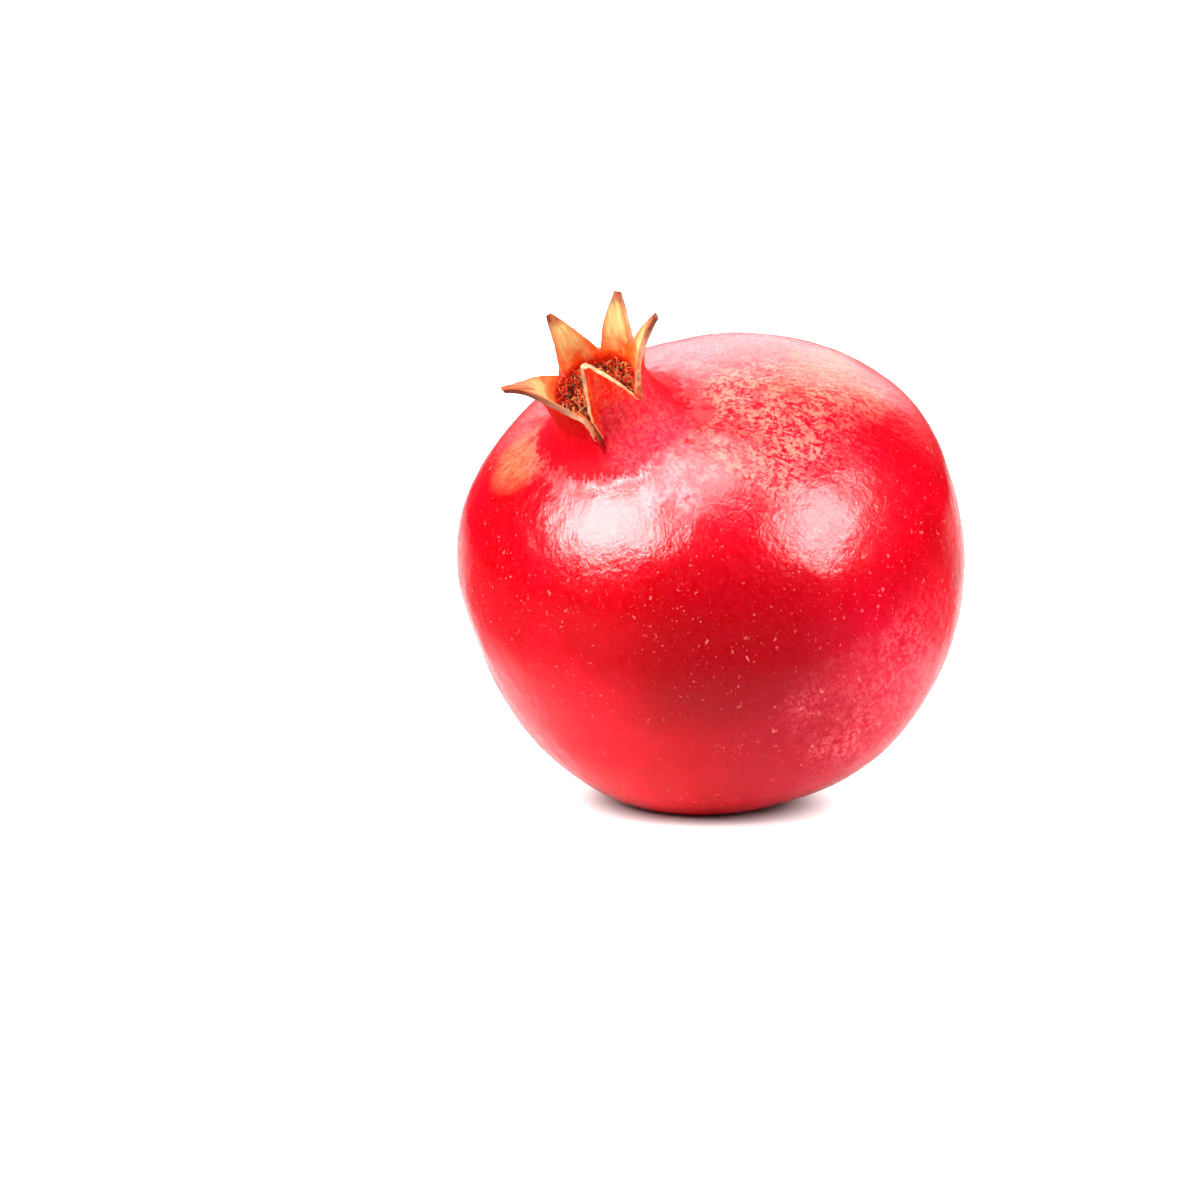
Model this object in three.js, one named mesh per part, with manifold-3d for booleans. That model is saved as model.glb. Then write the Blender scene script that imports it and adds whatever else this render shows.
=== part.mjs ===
// A whole pomegranate as picked, lying on the flattened spot under its weight with its crown
// leaning to one side. Millimetres, +Z up, origin at the middle of the spot that it rests on.
//
//   fruit      the leathery rind and the crown that grew out of it, one solid
//   stamens    the dried tuft on the floor of the crown's cup
//   stem_stub  what is left of the stalk, at the end away from the crown
//
// Everything is first shaped upright, with the crown's axis along +Z and the middle of the
// fruit at 0, and is then tipped over as one group.
import * as THREE from "three";
import { ParametricGeometry } from "three/addons/geometries/ParametricGeometry.js";
import { mergeGeometries, mergeVertices } from "three/addons/utils/BufferGeometryUtils.js";
import Module from "manifold-3d";

// ---- Driving dimensions --------------------------------------------------------------------
const WIDTH = 92; // across the widest part of the rind, without its swellings
const HEIGHT = 83.2; // from the stem end to the shoulder under the crown
const FULLNESS = 2.18; // 2 makes the outline an ellipse, and more makes its shoulders squarer
const OFF_CENTRE = 5.4; // how far the rind sits to one side of the crown's axis
const OFF_CENTRE_TOWARDS = 133; // degrees round the crown

const TIPPED = 36.3; // degrees between the crown's axis and upright
const LEANS_TOWARDS = -125; // degrees round +Z, from +X
const PRESSED = 2; // how deep the resting spot is pressed into the round rind
const PRESS_EDGE = 0.4; // half the height over which the spot rounds into the rind

const POLE = HEIGHT / 2;
const NECK_START = 16.5; // radius on the rind where the neck begins to rise
const NECK_REACH = 2.6; // how far the neck goes on along the slope of the rind
const NECK_RISE = 3.2; // and how far it comes down straight from the waist
const NECK_RADIUS = 9.5; // outside of the crown's tube at its waist
const WAIST_HEIGHT = POLE + 5.2;
const MOUTH_RADIUS = 9.7; // outside of the tube where the lobes begin
const MOUTH_HEIGHT = POLE + 8.2;
const WALL = 2.1; // thickness of the tube's wall
const LOBE_WALL = 1.5; // thickness of a lobe above its root
const TIP_WALL = 1; // thickness of a lobe at its tip
const EDGE_WALL = 0.85; // and along its sides
const BEVEL = 0.6; // how far the outer face of a lobe stops short of its edge
const CUP_FLOOR = POLE - 1; // height of the floor inside the crown
const CUP_FLOOR_RADIUS = 6.6;

const STEM_DIMPLE = 1.6; // depth of the hollow round the stalk
const STEM_DIMPLE_RADIUS = 8;
const STUB_RADIUS = 2.9;
const STUB_LENGTH = 3.4;

const THREADS = 48; // stamens
const THREAD_RADIUS = 0.42;
const ANTHER_SIZE = new THREE.Vector3(0.85, 0.5, 0.5);
const THREAD_TIP_RADII = [2.6, 5.4]; // from the crown's axis
const THREAD_TIP_HEIGHTS = [MOUTH_HEIGHT - 3, MOUTH_HEIGHT + 2.4];
const THREAD_TWIST = 0.35; // radians round the axis, at most, to either side
const THREAD_BOW = 0.9; // how far a thread bends towards the axis, at most
const MAT_TOP = 0.42; // share of the cup's outline where the mat of stamens ends
const MAT_CLEARANCE = 0.45; // between the mat and the cup's wall
const MAT_THICKNESS = 1.1;
const GOLDEN_ANGLE = 2.399963;

const GAP = 0.3; // between two solids that would touch
const STUB_OUTLINE = [
  // share of the stub's radius, and how far below the rind
  [0, GAP],
  [1.12, GAP + 0.35],
  [1.2, GAP + 0.9],
  [1, GAP + 1.7],
  [0.94, STUB_LENGTH * 0.85],
  [0.8, STUB_LENGTH],
  [0, STUB_LENGTH],
];
const WELD = 1e-4; // points closer than this are one point

// The lobes in order round the crown. Angles are degrees round the crown's axis, from the side
// that it leans to. length is from the mouth to the tip, bend is how far the tip turns outwards,
// late says how near the tip the bend lies, sway moves the tip sideways along the rim, and
// fullness and point shape the outline. notch is how high over the mouth the lobe parts from the
// one before it, and a torn notch goes on down as a slit for that depth.
const LOBES = [
  {
    from: 25, to: 86, columns: 11,
    length: 11.7, bend: -6, late: 1.5, sway: -2.1,
    fullness: 1.35, point: 1, notch: 0, torn: 6.6,
  },
  {
    from: 86, to: 138, columns: 10,
    length: 14.3, bend: 46, late: 0.6, sway: 0.3,
    fullness: 1.2, point: 1.15, notch: -2.3, torn: 0,
  },
  {
    from: 138, to: 200, columns: 11,
    length: 14.7, bend: 14, late: 1.5, sway: -3.3,
    fullness: 1.7, point: 1.25, notch: 4.6, torn: 0,
  },
  {
    from: 200, to: 258, columns: 10,
    length: 12.6, bend: 0, late: 1.5, sway: 1.7,
    fullness: 1.05, point: 1, notch: 0.2, torn: 0,
  },
  {
    from: 258, to: 385, columns: 22,
    length: 11.6, bend: 74, late: 1.1, sway: 0.2,
    fullness: 1.15, point: 1.8, notch: 0, torn: 0,
  },
];
const TIP_HALF_WIDTH = 0.55; // a lobe's tip is blunt
const SLIT_HALF_WIDTH = 0.25;

// Soft swellings where the chambers inside push the rind out.
const SWELLS = [
  { azimuth: 150, latitude: 22, height: 4, spread: 30 },
  { azimuth: 80, latitude: -42, height: 0.8, spread: 28 },
  { azimuth: 205, latitude: -12, height: 0.7, spread: 26 },
  { azimuth: 290, latitude: 5, height: -0.9, spread: 26 },
  { azimuth: 255, latitude: -50, height: 0.6, spread: 26 },
  { azimuth: 35, latitude: 10, height: 0.5, spread: 26 },
];
const RIDGES = 6; // shallow ridges from end to end
const RIDGE_HEIGHT = 0.35;

// ---- Facets --------------------------------------------------------------------------------
const RIND_ROWS = 30;
const NECK_ROWS = 6;
const TUBE_ROWS = 3;
const LOBE_ROWS = 12;
const CUP_ROWS = 10;
const MAT_ROWS = 5;
const MAT_COLUMNS = 20;
const THREAD_STEPS = 4;
const STUB_COLUMNS = 20;
const COLUMNS = LOBES.reduce((sum, lobe) => sum + lobe.columns, 0);

const { cos, sin, PI, abs, max, min, exp, pow, hypot } = Math;
const { degToRad, smoothstep, lerp } = THREE.MathUtils;

const wasm = await Module();
wasm.setup();

// ---- Solids --------------------------------------------------------------------------------
function solidOf(geometry) {
  geometry.deleteAttribute("normal");
  geometry.deleteAttribute("uv");
  const merged = mergeVertices(geometry, WELD);
  const corners = merged.index.array;
  const kept = [];
  for (let i = 0; i < corners.length; i += 3) {
    const [a, b, c] = corners.slice(i, i + 3);
    if (a !== b && b !== c && c !== a) kept.push(a, b, c);
  }
  return new wasm.Manifold(
    new wasm.Mesh({
      numProp: 3,
      vertProperties: merged.attributes.position.array,
      triVerts: new Uint32Array(kept),
    }),
  );
}

function geometryOf(solid) {
  const mesh = solid.getMesh();
  const geometry = new THREE.BufferGeometry();
  geometry.setAttribute("position", new THREE.BufferAttribute(mesh.vertProperties, 3));
  geometry.setIndex(new THREE.BufferAttribute(mesh.triVerts, 1));
  geometry.computeVertexNormals();
  return geometry;
}

function part(name, solid, color, roughness) {
  const material = new THREE.MeshStandardMaterial({ color, roughness, metalness: 0 });
  const mesh = new THREE.Mesh(geometryOf(solid), material);
  mesh.name = name;
  return mesh;
}

// ---- The rind ------------------------------------------------------------------------------
function superellipse(angle) {
  const across = sin(angle);
  const up = -cos(angle);
  const reach = pow(
    pow(abs(across) / (WIDTH / 2), FULLNESS) + pow(abs(up) / (HEIGHT / 2), FULLNESS),
    -1 / FULLNESS,
  );
  return new THREE.Vector2(reach * across, reach * up);
}

// Height of the upper shoulder at a radius, and the angle where it has that radius.
function shoulderHeight(radius) {
  return (HEIGHT / 2) * pow(1 - pow(radius / (WIDTH / 2), FULLNESS), 1 / FULLNESS);
}
const NECK_FOOT = new THREE.Vector2(NECK_START, shoulderHeight(NECK_START));
const NECK_ANGLE = PI - Math.atan2(NECK_FOOT.x, NECK_FOOT.y);
const SLOPE = new THREE.Vector2(-1, shoulderHeight(NECK_START - 1) - NECK_FOOT.y).normalize();
const WAIST = new THREE.Vector2(NECK_RADIUS, WAIST_HEIGHT);
const NECK = new THREE.CubicBezierCurve(
  NECK_FOOT,
  NECK_FOOT.clone().addScaledVector(SLOPE, NECK_REACH),
  new THREE.Vector2(NECK_RADIUS, WAIST_HEIGHT - NECK_RISE),
  WAIST,
);
const TUBE = new THREE.QuadraticBezierCurve(
  WAIST,
  new THREE.Vector2(NECK_RADIUS, lerp(WAIST_HEIGHT, MOUTH_HEIGHT, 0.6)),
  new THREE.Vector2(MOUTH_RADIUS, MOUTH_HEIGHT),
);

// Outline of the rind, neck and tube as radius and height, from the stem end up to the mouth.
function outerProfile(row) {
  if (row <= RIND_ROWS) {
    const point = superellipse((row / RIND_ROWS) * NECK_ANGLE);
    if (row < RIND_ROWS / 3) point.y += STEM_DIMPLE * exp(-pow(point.x / STEM_DIMPLE_RADIUS, 2));
    return point;
  }
  if (row <= RIND_ROWS + NECK_ROWS) return NECK.getPoint((row - RIND_ROWS) / NECK_ROWS);
  return TUBE.getPoint(min(1, (row - RIND_ROWS - NECK_ROWS) / TUBE_ROWS));
}

// Moves a point of the round fruit to where the real, uneven rind has it.
function unevenRind(point) {
  const below = 1 - smoothstep(point.z, POLE - 13, POLE);
  const reach = point.length();
  const azimuth = Math.atan2(point.y, point.x);
  let grown = 0;
  for (const swell of SWELLS) {
    const a = degToRad(swell.azimuth);
    const l = degToRad(swell.latitude);
    const towards = new THREE.Vector3(cos(a) * cos(l), sin(a) * cos(l), sin(l));
    const away = point.angleTo(towards) / degToRad(swell.spread);
    grown += swell.height * exp(-away * away);
  }
  const round = pow(hypot(point.x, point.y) / (WIDTH / 2), 2);
  grown += RIDGE_HEIGHT * round * cos(RIDGES * azimuth);
  point.multiplyScalar(1 + (grown * below) / reach);
  const shift = OFF_CENTRE * (1 - smoothstep(point.z, POLE - 38, POLE));
  point.x += shift * cos(degToRad(OFF_CENTRE_TOWARDS));
  point.y += shift * sin(degToRad(OFF_CENTRE_TOWARDS));
  return point;
}

// ---- The crown -----------------------------------------------------------------------------
// Azimuth of a column, with a whole number of columns in each lobe.
function azimuthOf(column) {
  let first = 0;
  for (const lobe of LOBES) {
    if (column <= first + lobe.columns)
      return degToRad(lerp(lobe.from, lobe.to, (column - first) / lobe.columns));
    first += lobe.columns;
  }
  return degToRad(LOBES.at(-1).to);
}

// Height of the rim over the mouth at an azimuth: raised or lowered round each notch.
const NOTCH_SPAN = degToRad(30);
const SLIT_SPAN = degToRad(9);
const TUBE_FLOOR = POLE; // height below which the rim's unevenness dies out
function nearNotch(azimuth, lobe, span) {
  const away = azimuth - degToRad(lobe.from);
  return max(0, 1 - abs(Math.atan2(sin(away), cos(away))) / span);
}
function rimHeight(azimuth) {
  return LOBES.reduce((sum, lobe) => sum + lobe.notch * pow(nearNotch(azimuth, lobe, NOTCH_SPAN), 1.5), 0);
}

// How far a torn notch goes down past the rim, as a narrow slit.
function slitDepth(azimuth) {
  return LOBES.reduce((sum, lobe) => sum + lobe.torn * pow(nearNotch(azimuth, lobe, SLIT_SPAN), 1.3), 0);
}

// A point on the crown's tube, outside or inside, with its upper part drawn to the uneven rim.
function tubePoint(profilePoint, azimuth, target) {
  const share = max(0, (profilePoint.y - TUBE_FLOOR) / (MOUTH_HEIGHT - TUBE_FLOOR));
  const z = profilePoint.y + (rimHeight(azimuth) - slitDepth(azimuth)) * share;
  return target.set(profilePoint.x * cos(azimuth), profilePoint.x * sin(azimuth), z);
}

// ---- The pose ------------------------------------------------------------------------------
// Tips the upright fruit over and sets it down: the lowest point of the round rind would reach
// PRESSED below the surface, and the middle of the spot pressed flat is the origin.
function restingPose() {
  const tipped = new THREE.Matrix4().makeRotationFromEuler(
    new THREE.Euler(0, degToRad(TIPPED), degToRad(LEANS_TOWARDS), "ZYX"),
  );
  const rind = [];
  for (let row = 0; row <= RIND_ROWS; row++)
    for (let column = 0; column < COLUMNS; column++) {
      const point = tubePoint(outerProfile(row), azimuthOf(column), new THREE.Vector3());
      rind.push(unevenRind(point).applyMatrix4(tipped));
    }
  const lowest = rind.reduce((a, b) => (b.z < a.z ? b : a));
  const spot = new THREE.Box3().setFromPoints(
    rind.filter((point) => point.z < lowest.z + PRESSED - PRESS_EDGE),
  );
  const middle = spot.getCenter(new THREE.Vector3());
  return tipped.setPosition(-middle.x, -middle.y, -lowest.z - PRESSED);
}

// Presses a point of the upright fruit flat where it lies on the surface once tipped.
function pressed(point) {
  point.applyMatrix4(POSE);
  if (point.z <= -PRESS_EDGE) point.z = 0;
  else if (point.z < PRESS_EDGE) point.z = pow(point.z + PRESS_EDGE, 2) / (4 * PRESS_EDGE);
  return point.applyMatrix4(UNPOSE);
}

const POSE = restingPose();
const UNPOSE = POSE.clone().invert();

// ---- The lobes -----------------------------------------------------------------------------
// Outwards and upwards reach of a lobe's middle line at a height over the mouth.
function middleLine(lobe, height) {
  const steps = 16;
  const reach = new THREE.Vector3(MOUTH_RADIUS, MOUTH_HEIGHT + min(0, height), 0);
  const climbed = max(0, height);
  for (let i = 0; i < steps; i++) {
    reach.z = degToRad(lobe.bend) * pow((climbed / lobe.length) * ((i + 0.5) / steps), lobe.late);
    reach.x += (sin(reach.z) * climbed) / steps;
    reach.y += (cos(reach.z) * climbed) / steps;
  }
  return reach; // z holds the bend in radians
}

// A point of a lobe. across runs from -1 to 1 between its notches, along from 0 at the rim to 1
// at its tip, and depth from 0 on the outer face to 1 on the inner one.
function lobePoint(lobe, across, along, depth, target) {
  const middle = degToRad((lobe.from + lobe.to) / 2);
  const half = degToRad((lobe.to - lobe.from) / 2);
  const whole = rimHeight(middle + across * half);
  const slit = slitDepth(middle + across * half);
  const rim = whole - slit;
  const height = lerp(rim, lobe.length - BEVEL * (1 - depth), along);

  // The middle line bends outwards, and every column starts at its own place on the rim.
  const line = middleLine(lobe, height);
  const start = middleLine(lobe, rim);
  const radial = line.x - (start.x - MOUTH_RADIUS) * (1 - along);
  const z = line.y - (start.y - MOUTH_HEIGHT - rim) * (1 - along);
  const bend = line.z * smoothstep(along, 0, 0.4);

  // Each side narrows from its own notch, and the round section flattens towards the tip.
  const q = max(0, (height - whole) / (lobe.length - whole));
  const taper = pow(1 - pow(q, lobe.fullness), lobe.point);
  const parted = SLIT_HALF_WIDTH * smoothstep(slit, 0, 1) * smoothstep(along, 0, 0.12);
  const full = (MOUTH_RADIUS * half - parted) * taper + TIP_HALF_WIDTH * smoothstep(q, 0.3, 1);
  const bevel = min(BEVEL, 0.4 * full) * (1 - depth) * smoothstep(along, 0, 0.15);
  const width = full - bevel * smoothstep(abs(across), 0.4, 1);
  const curl = MOUTH_RADIUS * (1 + 0.5 * along);
  const turn = (across * width) / curl;
  const blade = lerp(LOBE_WALL, TIP_WALL, along);
  const thinned = lerp(blade, EDGE_WALL, pow(abs(across), 3));
  const wall = lerp(WALL, thinned, smoothstep(along, 0, 0.2));
  const inwards = curl - (curl - wall * depth) * cos(turn);
  const sideways = (curl - wall * depth) * sin(turn) + lobe.sway * pow(along, 1.4);

  const out = radial - cos(bend) * inwards;
  const up = z + sin(bend) * inwards;
  return target.set(
    out * cos(middle) - sideways * sin(middle),
    out * sin(middle) + sideways * cos(middle),
    up,
  );
}

// Outline of the cup inside the crown, from the mouth down to the middle of its floor, and the
// same outline brought inwards.
const CUP = new THREE.CubicBezierCurve(
  new THREE.Vector2(MOUTH_RADIUS - WALL, MOUTH_HEIGHT),
  new THREE.Vector2(MOUTH_RADIUS - WALL - 0.6, CUP_FLOOR + 2.4),
  new THREE.Vector2(CUP_FLOOR_RADIUS, CUP_FLOOR),
  new THREE.Vector2(0, CUP_FLOOR),
);
function cupPoint(share, inset) {
  const along = CUP.getTangent(share);
  return CUP.getPoint(share).add(new THREE.Vector2(along.y, -along.x).multiplyScalar(inset));
}

// ---- The pieces ----------------------------------------------------------------------------
// One sheet of the skin: place(u, v, target) with u and v from 0 to 1.
function sheet(place, slices, stacks) {
  const geometry = new ParametricGeometry(place, slices, stacks);
  geometry.deleteAttribute("normal");
  geometry.deleteAttribute("uv");
  return geometry;
}

// The rind, the crown's tube, its lobes and the cup inside it, as one closed skin.
function fruit() {
  const rows = RIND_ROWS + NECK_ROWS + TUBE_ROWS;
  const outside = sheet(
    (u, v, target) => {
      const azimuth = azimuthOf(u * COLUMNS);
      pressed(unevenRind(tubePoint(outerProfile(v * rows), azimuth, target)));
    },
    COLUMNS,
    rows,
  );
  const inside = sheet(
    (u, v, target) => tubePoint(CUP.getPoint(v), azimuthOf(u * COLUMNS), target),
    COLUMNS,
    CUP_ROWS,
  );
  const lobes = LOBES.flatMap((lobe) => [
    sheet((u, v, target) => lobePoint(lobe, 2 * u - 1, v, 0, target), lobe.columns, LOBE_ROWS),
    sheet((u, v, target) => lobePoint(lobe, 1 - 2 * u, v, 1, target), lobe.columns, LOBE_ROWS),
    sheet((u, v, target) => lobePoint(lobe, 1, v, u, target), 1, LOBE_ROWS),
    sheet((u, v, target) => lobePoint(lobe, -1, v, 1 - u, target), 1, LOBE_ROWS),
    sheet((u, v, target) => lobePoint(lobe, 2 * u - 1, 1, v, target), lobe.columns, 1),
  ]);
  return solidOf(mergeGeometries([outside, inside, ...lobes]));
}

// A repeatable source of numbers from 0 to 1.
function seeded(seed) {
  let state = seed;
  return () => {
    state = (state * 1664525 + 1013904223) % 4294967296;
    return state / 4294967296;
  };
}

// The dried stamens: curled threads, each with a small anther, on the thin mat that they make
// over the floor and the lower wall of the cup.
function stamens() {
  const outer = [];
  const inner = [];
  for (let row = 0; row <= MAT_ROWS; row++) {
    const share = lerp(MAT_TOP, 1, row / MAT_ROWS);
    outer.push(cupPoint(share, MAT_CLEARANCE));
    inner.push(cupPoint(share, MAT_CLEARANCE + MAT_THICKNESS));
  }
  outer[MAT_ROWS].x = 0;
  inner[MAT_ROWS].x = 0;
  const ring = [...outer.reverse(), ...inner];
  const mat = solidOf(new THREE.LatheGeometry(ring, MAT_COLUMNS).rotateX(PI / 2));

  const next = seeded(11);
  const section = new THREE.Shape(
    [0, 1, 2].map((corner) =>
      new THREE.Vector2(THREAD_RADIUS, 0).rotateAround(new THREE.Vector2(), (corner * 2 * PI) / 3),
    ),
  );
  let tuft = mat;
  for (let i = 0; i < THREADS; i++) {
    const azimuth = (i * GOLDEN_ANGLE) % (2 * PI);
    const share = lerp(MAT_TOP + 0.06, 0.85, next());
    const root = cupPoint(share, MAT_CLEARANCE + MAT_THICKNESS * 0.6);
    const tipRadius = lerp(...THREAD_TIP_RADII, next());
    const tipHeight = lerp(...THREAD_TIP_HEIGHTS, next());
    const twist = lerp(-THREAD_TWIST, THREAD_TWIST, next());
    const bow = lerp(-THREAD_BOW, THREAD_BOW, next());
    const middleRadius = lerp(root.x, tipRadius, 0.5) - abs(bow);
    const spine = [
      at(root.x, azimuth, root.y),
      at(lerp(root.x, middleRadius, 0.4), azimuth + twist * 0.1, lerp(root.y, tipHeight, 0.3)),
      at(middleRadius, azimuth + twist * 0.5, lerp(root.y, tipHeight, 0.65)),
      at(tipRadius, azimuth + twist, tipHeight),
    ];
    const curve = new THREE.CatmullRomCurve3(spine);
    const thread = new THREE.ExtrudeGeometry(section, {
      steps: THREAD_STEPS,
      extrudePath: curve,
      bevelEnabled: false,
    });
    tuft = tuft.add(solidOf(thread));
    const anther = new THREE.OctahedronGeometry(1)
      .scale(ANTHER_SIZE.x, ANTHER_SIZE.y, ANTHER_SIZE.z)
      .rotateX(PI * next())
      .rotateZ(PI * next())
      .translate(...spine[3].toArray());
    tuft = tuft.add(solidOf(anther));
  }
  return tuft;
}

function at(radius, azimuth, z) {
  return new THREE.Vector3(radius * cos(azimuth), radius * sin(azimuth), z);
}

// The cut stalk, in the hollow at the end away from the crown.
function stemStub() {
  const seat = unevenRind(tubePoint(outerProfile(0), 0, new THREE.Vector3()));
  const outline = STUB_OUTLINE.map(([x, y]) => new THREE.Vector2(STUB_RADIUS * x, -y));
  const stub = new THREE.LatheGeometry(outline.reverse(), STUB_COLUMNS).rotateX(PI / 2);
  return solidOf(stub.translate(seat.x, seat.y, seat.z));
}

const group = new THREE.Group();
group.add(part("fruit", fruit(), 0xc8102e, 0.35));
group.add(part("stamens", stamens(), 0xb98a4a, 0.9));
group.add(part("stem_stub", stemStub(), 0x7a5b3a, 0.85));
group.applyMatrix4(POSE);

export default group;
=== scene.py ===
# %% [markdown]
# # A pomegranate lying on a table
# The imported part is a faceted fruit: one solid for the rind and the crown that grew out of it,
# one for the tuft of dried stamens inside the crown, and one for the stub of the stalk. Here
# each of them gets a finer skin of the same form, and a finish that looks grown. Lengths are in
# millimetres while a piece is being shaped, and it is scaled to metres at the end.

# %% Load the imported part
import functools
import math
import random

import bmesh
import bpy
from mathutils import Euler, Matrix, Vector, noise
from mathutils.geometry import interpolate_bezier


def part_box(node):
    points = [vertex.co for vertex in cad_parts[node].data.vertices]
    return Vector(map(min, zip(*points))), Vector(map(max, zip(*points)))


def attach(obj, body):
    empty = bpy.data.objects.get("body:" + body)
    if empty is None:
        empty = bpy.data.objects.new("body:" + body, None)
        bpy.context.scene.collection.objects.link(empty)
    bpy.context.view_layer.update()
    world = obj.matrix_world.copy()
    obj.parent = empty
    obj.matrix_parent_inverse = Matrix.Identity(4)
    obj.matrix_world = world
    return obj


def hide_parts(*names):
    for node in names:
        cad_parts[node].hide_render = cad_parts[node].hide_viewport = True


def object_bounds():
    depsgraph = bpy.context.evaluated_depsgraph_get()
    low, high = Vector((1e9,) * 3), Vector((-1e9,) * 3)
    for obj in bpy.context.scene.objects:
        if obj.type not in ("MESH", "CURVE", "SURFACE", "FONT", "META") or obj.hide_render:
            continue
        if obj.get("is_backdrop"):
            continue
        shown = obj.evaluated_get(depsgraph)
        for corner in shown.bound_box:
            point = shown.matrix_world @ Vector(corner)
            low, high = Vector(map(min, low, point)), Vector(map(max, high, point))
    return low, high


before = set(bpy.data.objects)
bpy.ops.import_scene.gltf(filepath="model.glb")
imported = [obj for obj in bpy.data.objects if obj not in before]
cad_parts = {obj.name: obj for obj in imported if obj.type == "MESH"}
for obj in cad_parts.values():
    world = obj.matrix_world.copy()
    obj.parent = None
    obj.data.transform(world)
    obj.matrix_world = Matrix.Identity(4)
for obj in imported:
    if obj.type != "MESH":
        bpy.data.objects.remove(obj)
cad_low, cad_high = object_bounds()
MM = 0.001

# %% [markdown]
# ## Camera
# A long lens a little above the fruit keeps its outline round, as a product shot does. The
# camera comes first, so that everything after it can be judged through it.

# %% Camera
EYE = Vector((-18.92, -762.44, 172.45))
LOOKS_DOWN = math.radians(10)

camera_data = bpy.data.cameras.new("camera")
camera_data.lens = 125
camera_data.sensor_width = 36
camera = bpy.data.objects.new("camera", camera_data)
camera.location = EYE * MM
camera.rotation_euler = (math.pi / 2 - LOOKS_DOWN, 0, 0)
bpy.context.scene.collection.objects.link(camera)
bpy.context.scene.camera = camera
bpy.context.scene.view_settings.view_transform = "Standard"
print("camera", [round(x, 3) for x in camera.location])

# %% [markdown]
# ## The fruit's own dimensions
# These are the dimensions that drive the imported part. The fruit is shaped upright, with the axis
# of its crown along Z and the middle of the rind at 0, because every formula is short that way,
# and is tipped over once it is whole.

# %% Dimensions of the rind, the neck and the crown
WIDTH, HEIGHT = 92, 83.2
FULLNESS = 2.18  # of the outline: 2 is an ellipse, and more is squarer
OFF_CENTRE, OFF_CENTRE_TOWARDS = 5.4, math.radians(133)
TIPPED, LEANS_TOWARDS = math.radians(36.3), math.radians(-125)
PRESS_EDGE = 0.4  # how far round its edge the flat spot that it rests on is softened

POLE = HEIGHT / 2
NECK_START, NECK_RADIUS = 16.5, 9.5
WAIST_HEIGHT, MOUTH_HEIGHT = POLE + 5.2, POLE + 8.2
MOUTH_RADIUS = 9.7
NECK_REACH, NECK_RISE = 2.6, 3.2
WALL, LOBE_WALL, TIP_WALL, EDGE_WALL = 2.1, 1.5, 1, 0.85
BEVEL = 0.6  # how far the outer face of a lobe stops short of its edge
CUP_FLOOR, CUP_FLOOR_RADIUS = POLE - 1, 6.6
STEM_DIMPLE, STEM_DIMPLE_RADIUS = 1.6, 8
RIDGES, RIDGE_HEIGHT = 6, 0.35

# Swellings: azimuth, latitude, height and spread, in degrees and millimetres.
SWELLS = [
    (150, 22, 4, 30),
    (80, -42, 0.8, 28),
    (205, -12, 0.7, 26),
    (290, 5, -0.9, 26),
    (255, -50, 0.6, 26),
    (35, 10, 0.5, 26),
]


def blend(start, end, share):
    return start + (end - start) * share


def ease(value, low, high):
    """0 below low, 1 above high, and a smooth rise between them."""
    share = min(1.0, max(0.0, (value - low) / (high - low)))
    return share * share * (3 - 2 * share)


# %% [markdown]
# ## Outline of the rind
# Turned on its axis, a pomegranate is a slightly squared circle that rises into a neck and then
# into the tube of the crown. Half of that outline is drawn once, as a row of points, and turned
# round the axis. One column for each degree gives facets under a millimetre, fine enough to
# carry the leathery relief as real shape.


# %% Outline, from the stem end up to the mouth of the crown
COLUMNS = 360
RIND_ROWS, NECK_ROWS, TUBE_ROWS, CUP_ROWS = 112, 18, 8, 26


def shoulder_height(radius):
    return (HEIGHT / 2) * (1 - (radius / (WIDTH / 2)) ** FULLNESS) ** (1 / FULLNESS)


def rind_point(angle):
    """A point of the outline, as an angle from the stem end round to the crown."""
    across, up = math.sin(angle), -math.cos(angle)
    x, z = abs(across) / (WIDTH / 2), abs(up) / (HEIGHT / 2)
    reach = (x**FULLNESS + z**FULLNESS) ** (-1 / FULLNESS)
    dimple = STEM_DIMPLE * math.exp(-((reach * across / STEM_DIMPLE_RADIUS) ** 2)) if up < 0 else 0
    return Vector((reach * across, 0, reach * up + dimple))


neck_foot = Vector((NECK_START, 0, shoulder_height(NECK_START)))
neck_angle = math.pi - math.atan2(neck_foot.x, neck_foot.z)
slope = Vector((-1, 0, shoulder_height(NECK_START - 1) - neck_foot.z)).normalized()
waist = Vector((NECK_RADIUS, 0, WAIST_HEIGHT))
mouth = Vector((MOUTH_RADIUS, 0, MOUTH_HEIGHT))
tube_bow = Vector((NECK_RADIUS, 0, blend(WAIST_HEIGHT, MOUTH_HEIGHT, 0.6)))

outline = [rind_point(neck_angle * row / RIND_ROWS) for row in range(RIND_ROWS)]
rise = waist - Vector((0, 0, NECK_RISE))
neck = interpolate_bezier(neck_foot, neck_foot + slope * NECK_REACH, rise, waist, NECK_ROWS + 1)
outline += neck[:-1]
outline += interpolate_bezier(
    waist, waist.lerp(tube_bow, 2 / 3), mouth.lerp(tube_bow, 2 / 3), mouth, TUBE_ROWS + 1
)
cup_outline = interpolate_bezier(
    Vector((MOUTH_RADIUS - WALL, 0, MOUTH_HEIGHT)),
    Vector((MOUTH_RADIUS - WALL - 0.6, 0, CUP_FLOOR + 2.4)),
    Vector((CUP_FLOOR_RADIUS, 0, CUP_FLOOR)),
    Vector((0, 0, CUP_FLOOR)),
    CUP_ROWS + 1,
)
print("outline", len(outline), "points; cup", len(cup_outline), "points")

# %% [markdown]
# ## The five lobes of the crown
# The lobes are the sepals of the flower, which stay on the fruit and dry there. No two are
# alike: one stands straight, one bends out and down, one curls aside. Each has its own row of
# numbers. Where two lobes meet, the rim may be drawn up, drawn down or torn into a slit.


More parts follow.
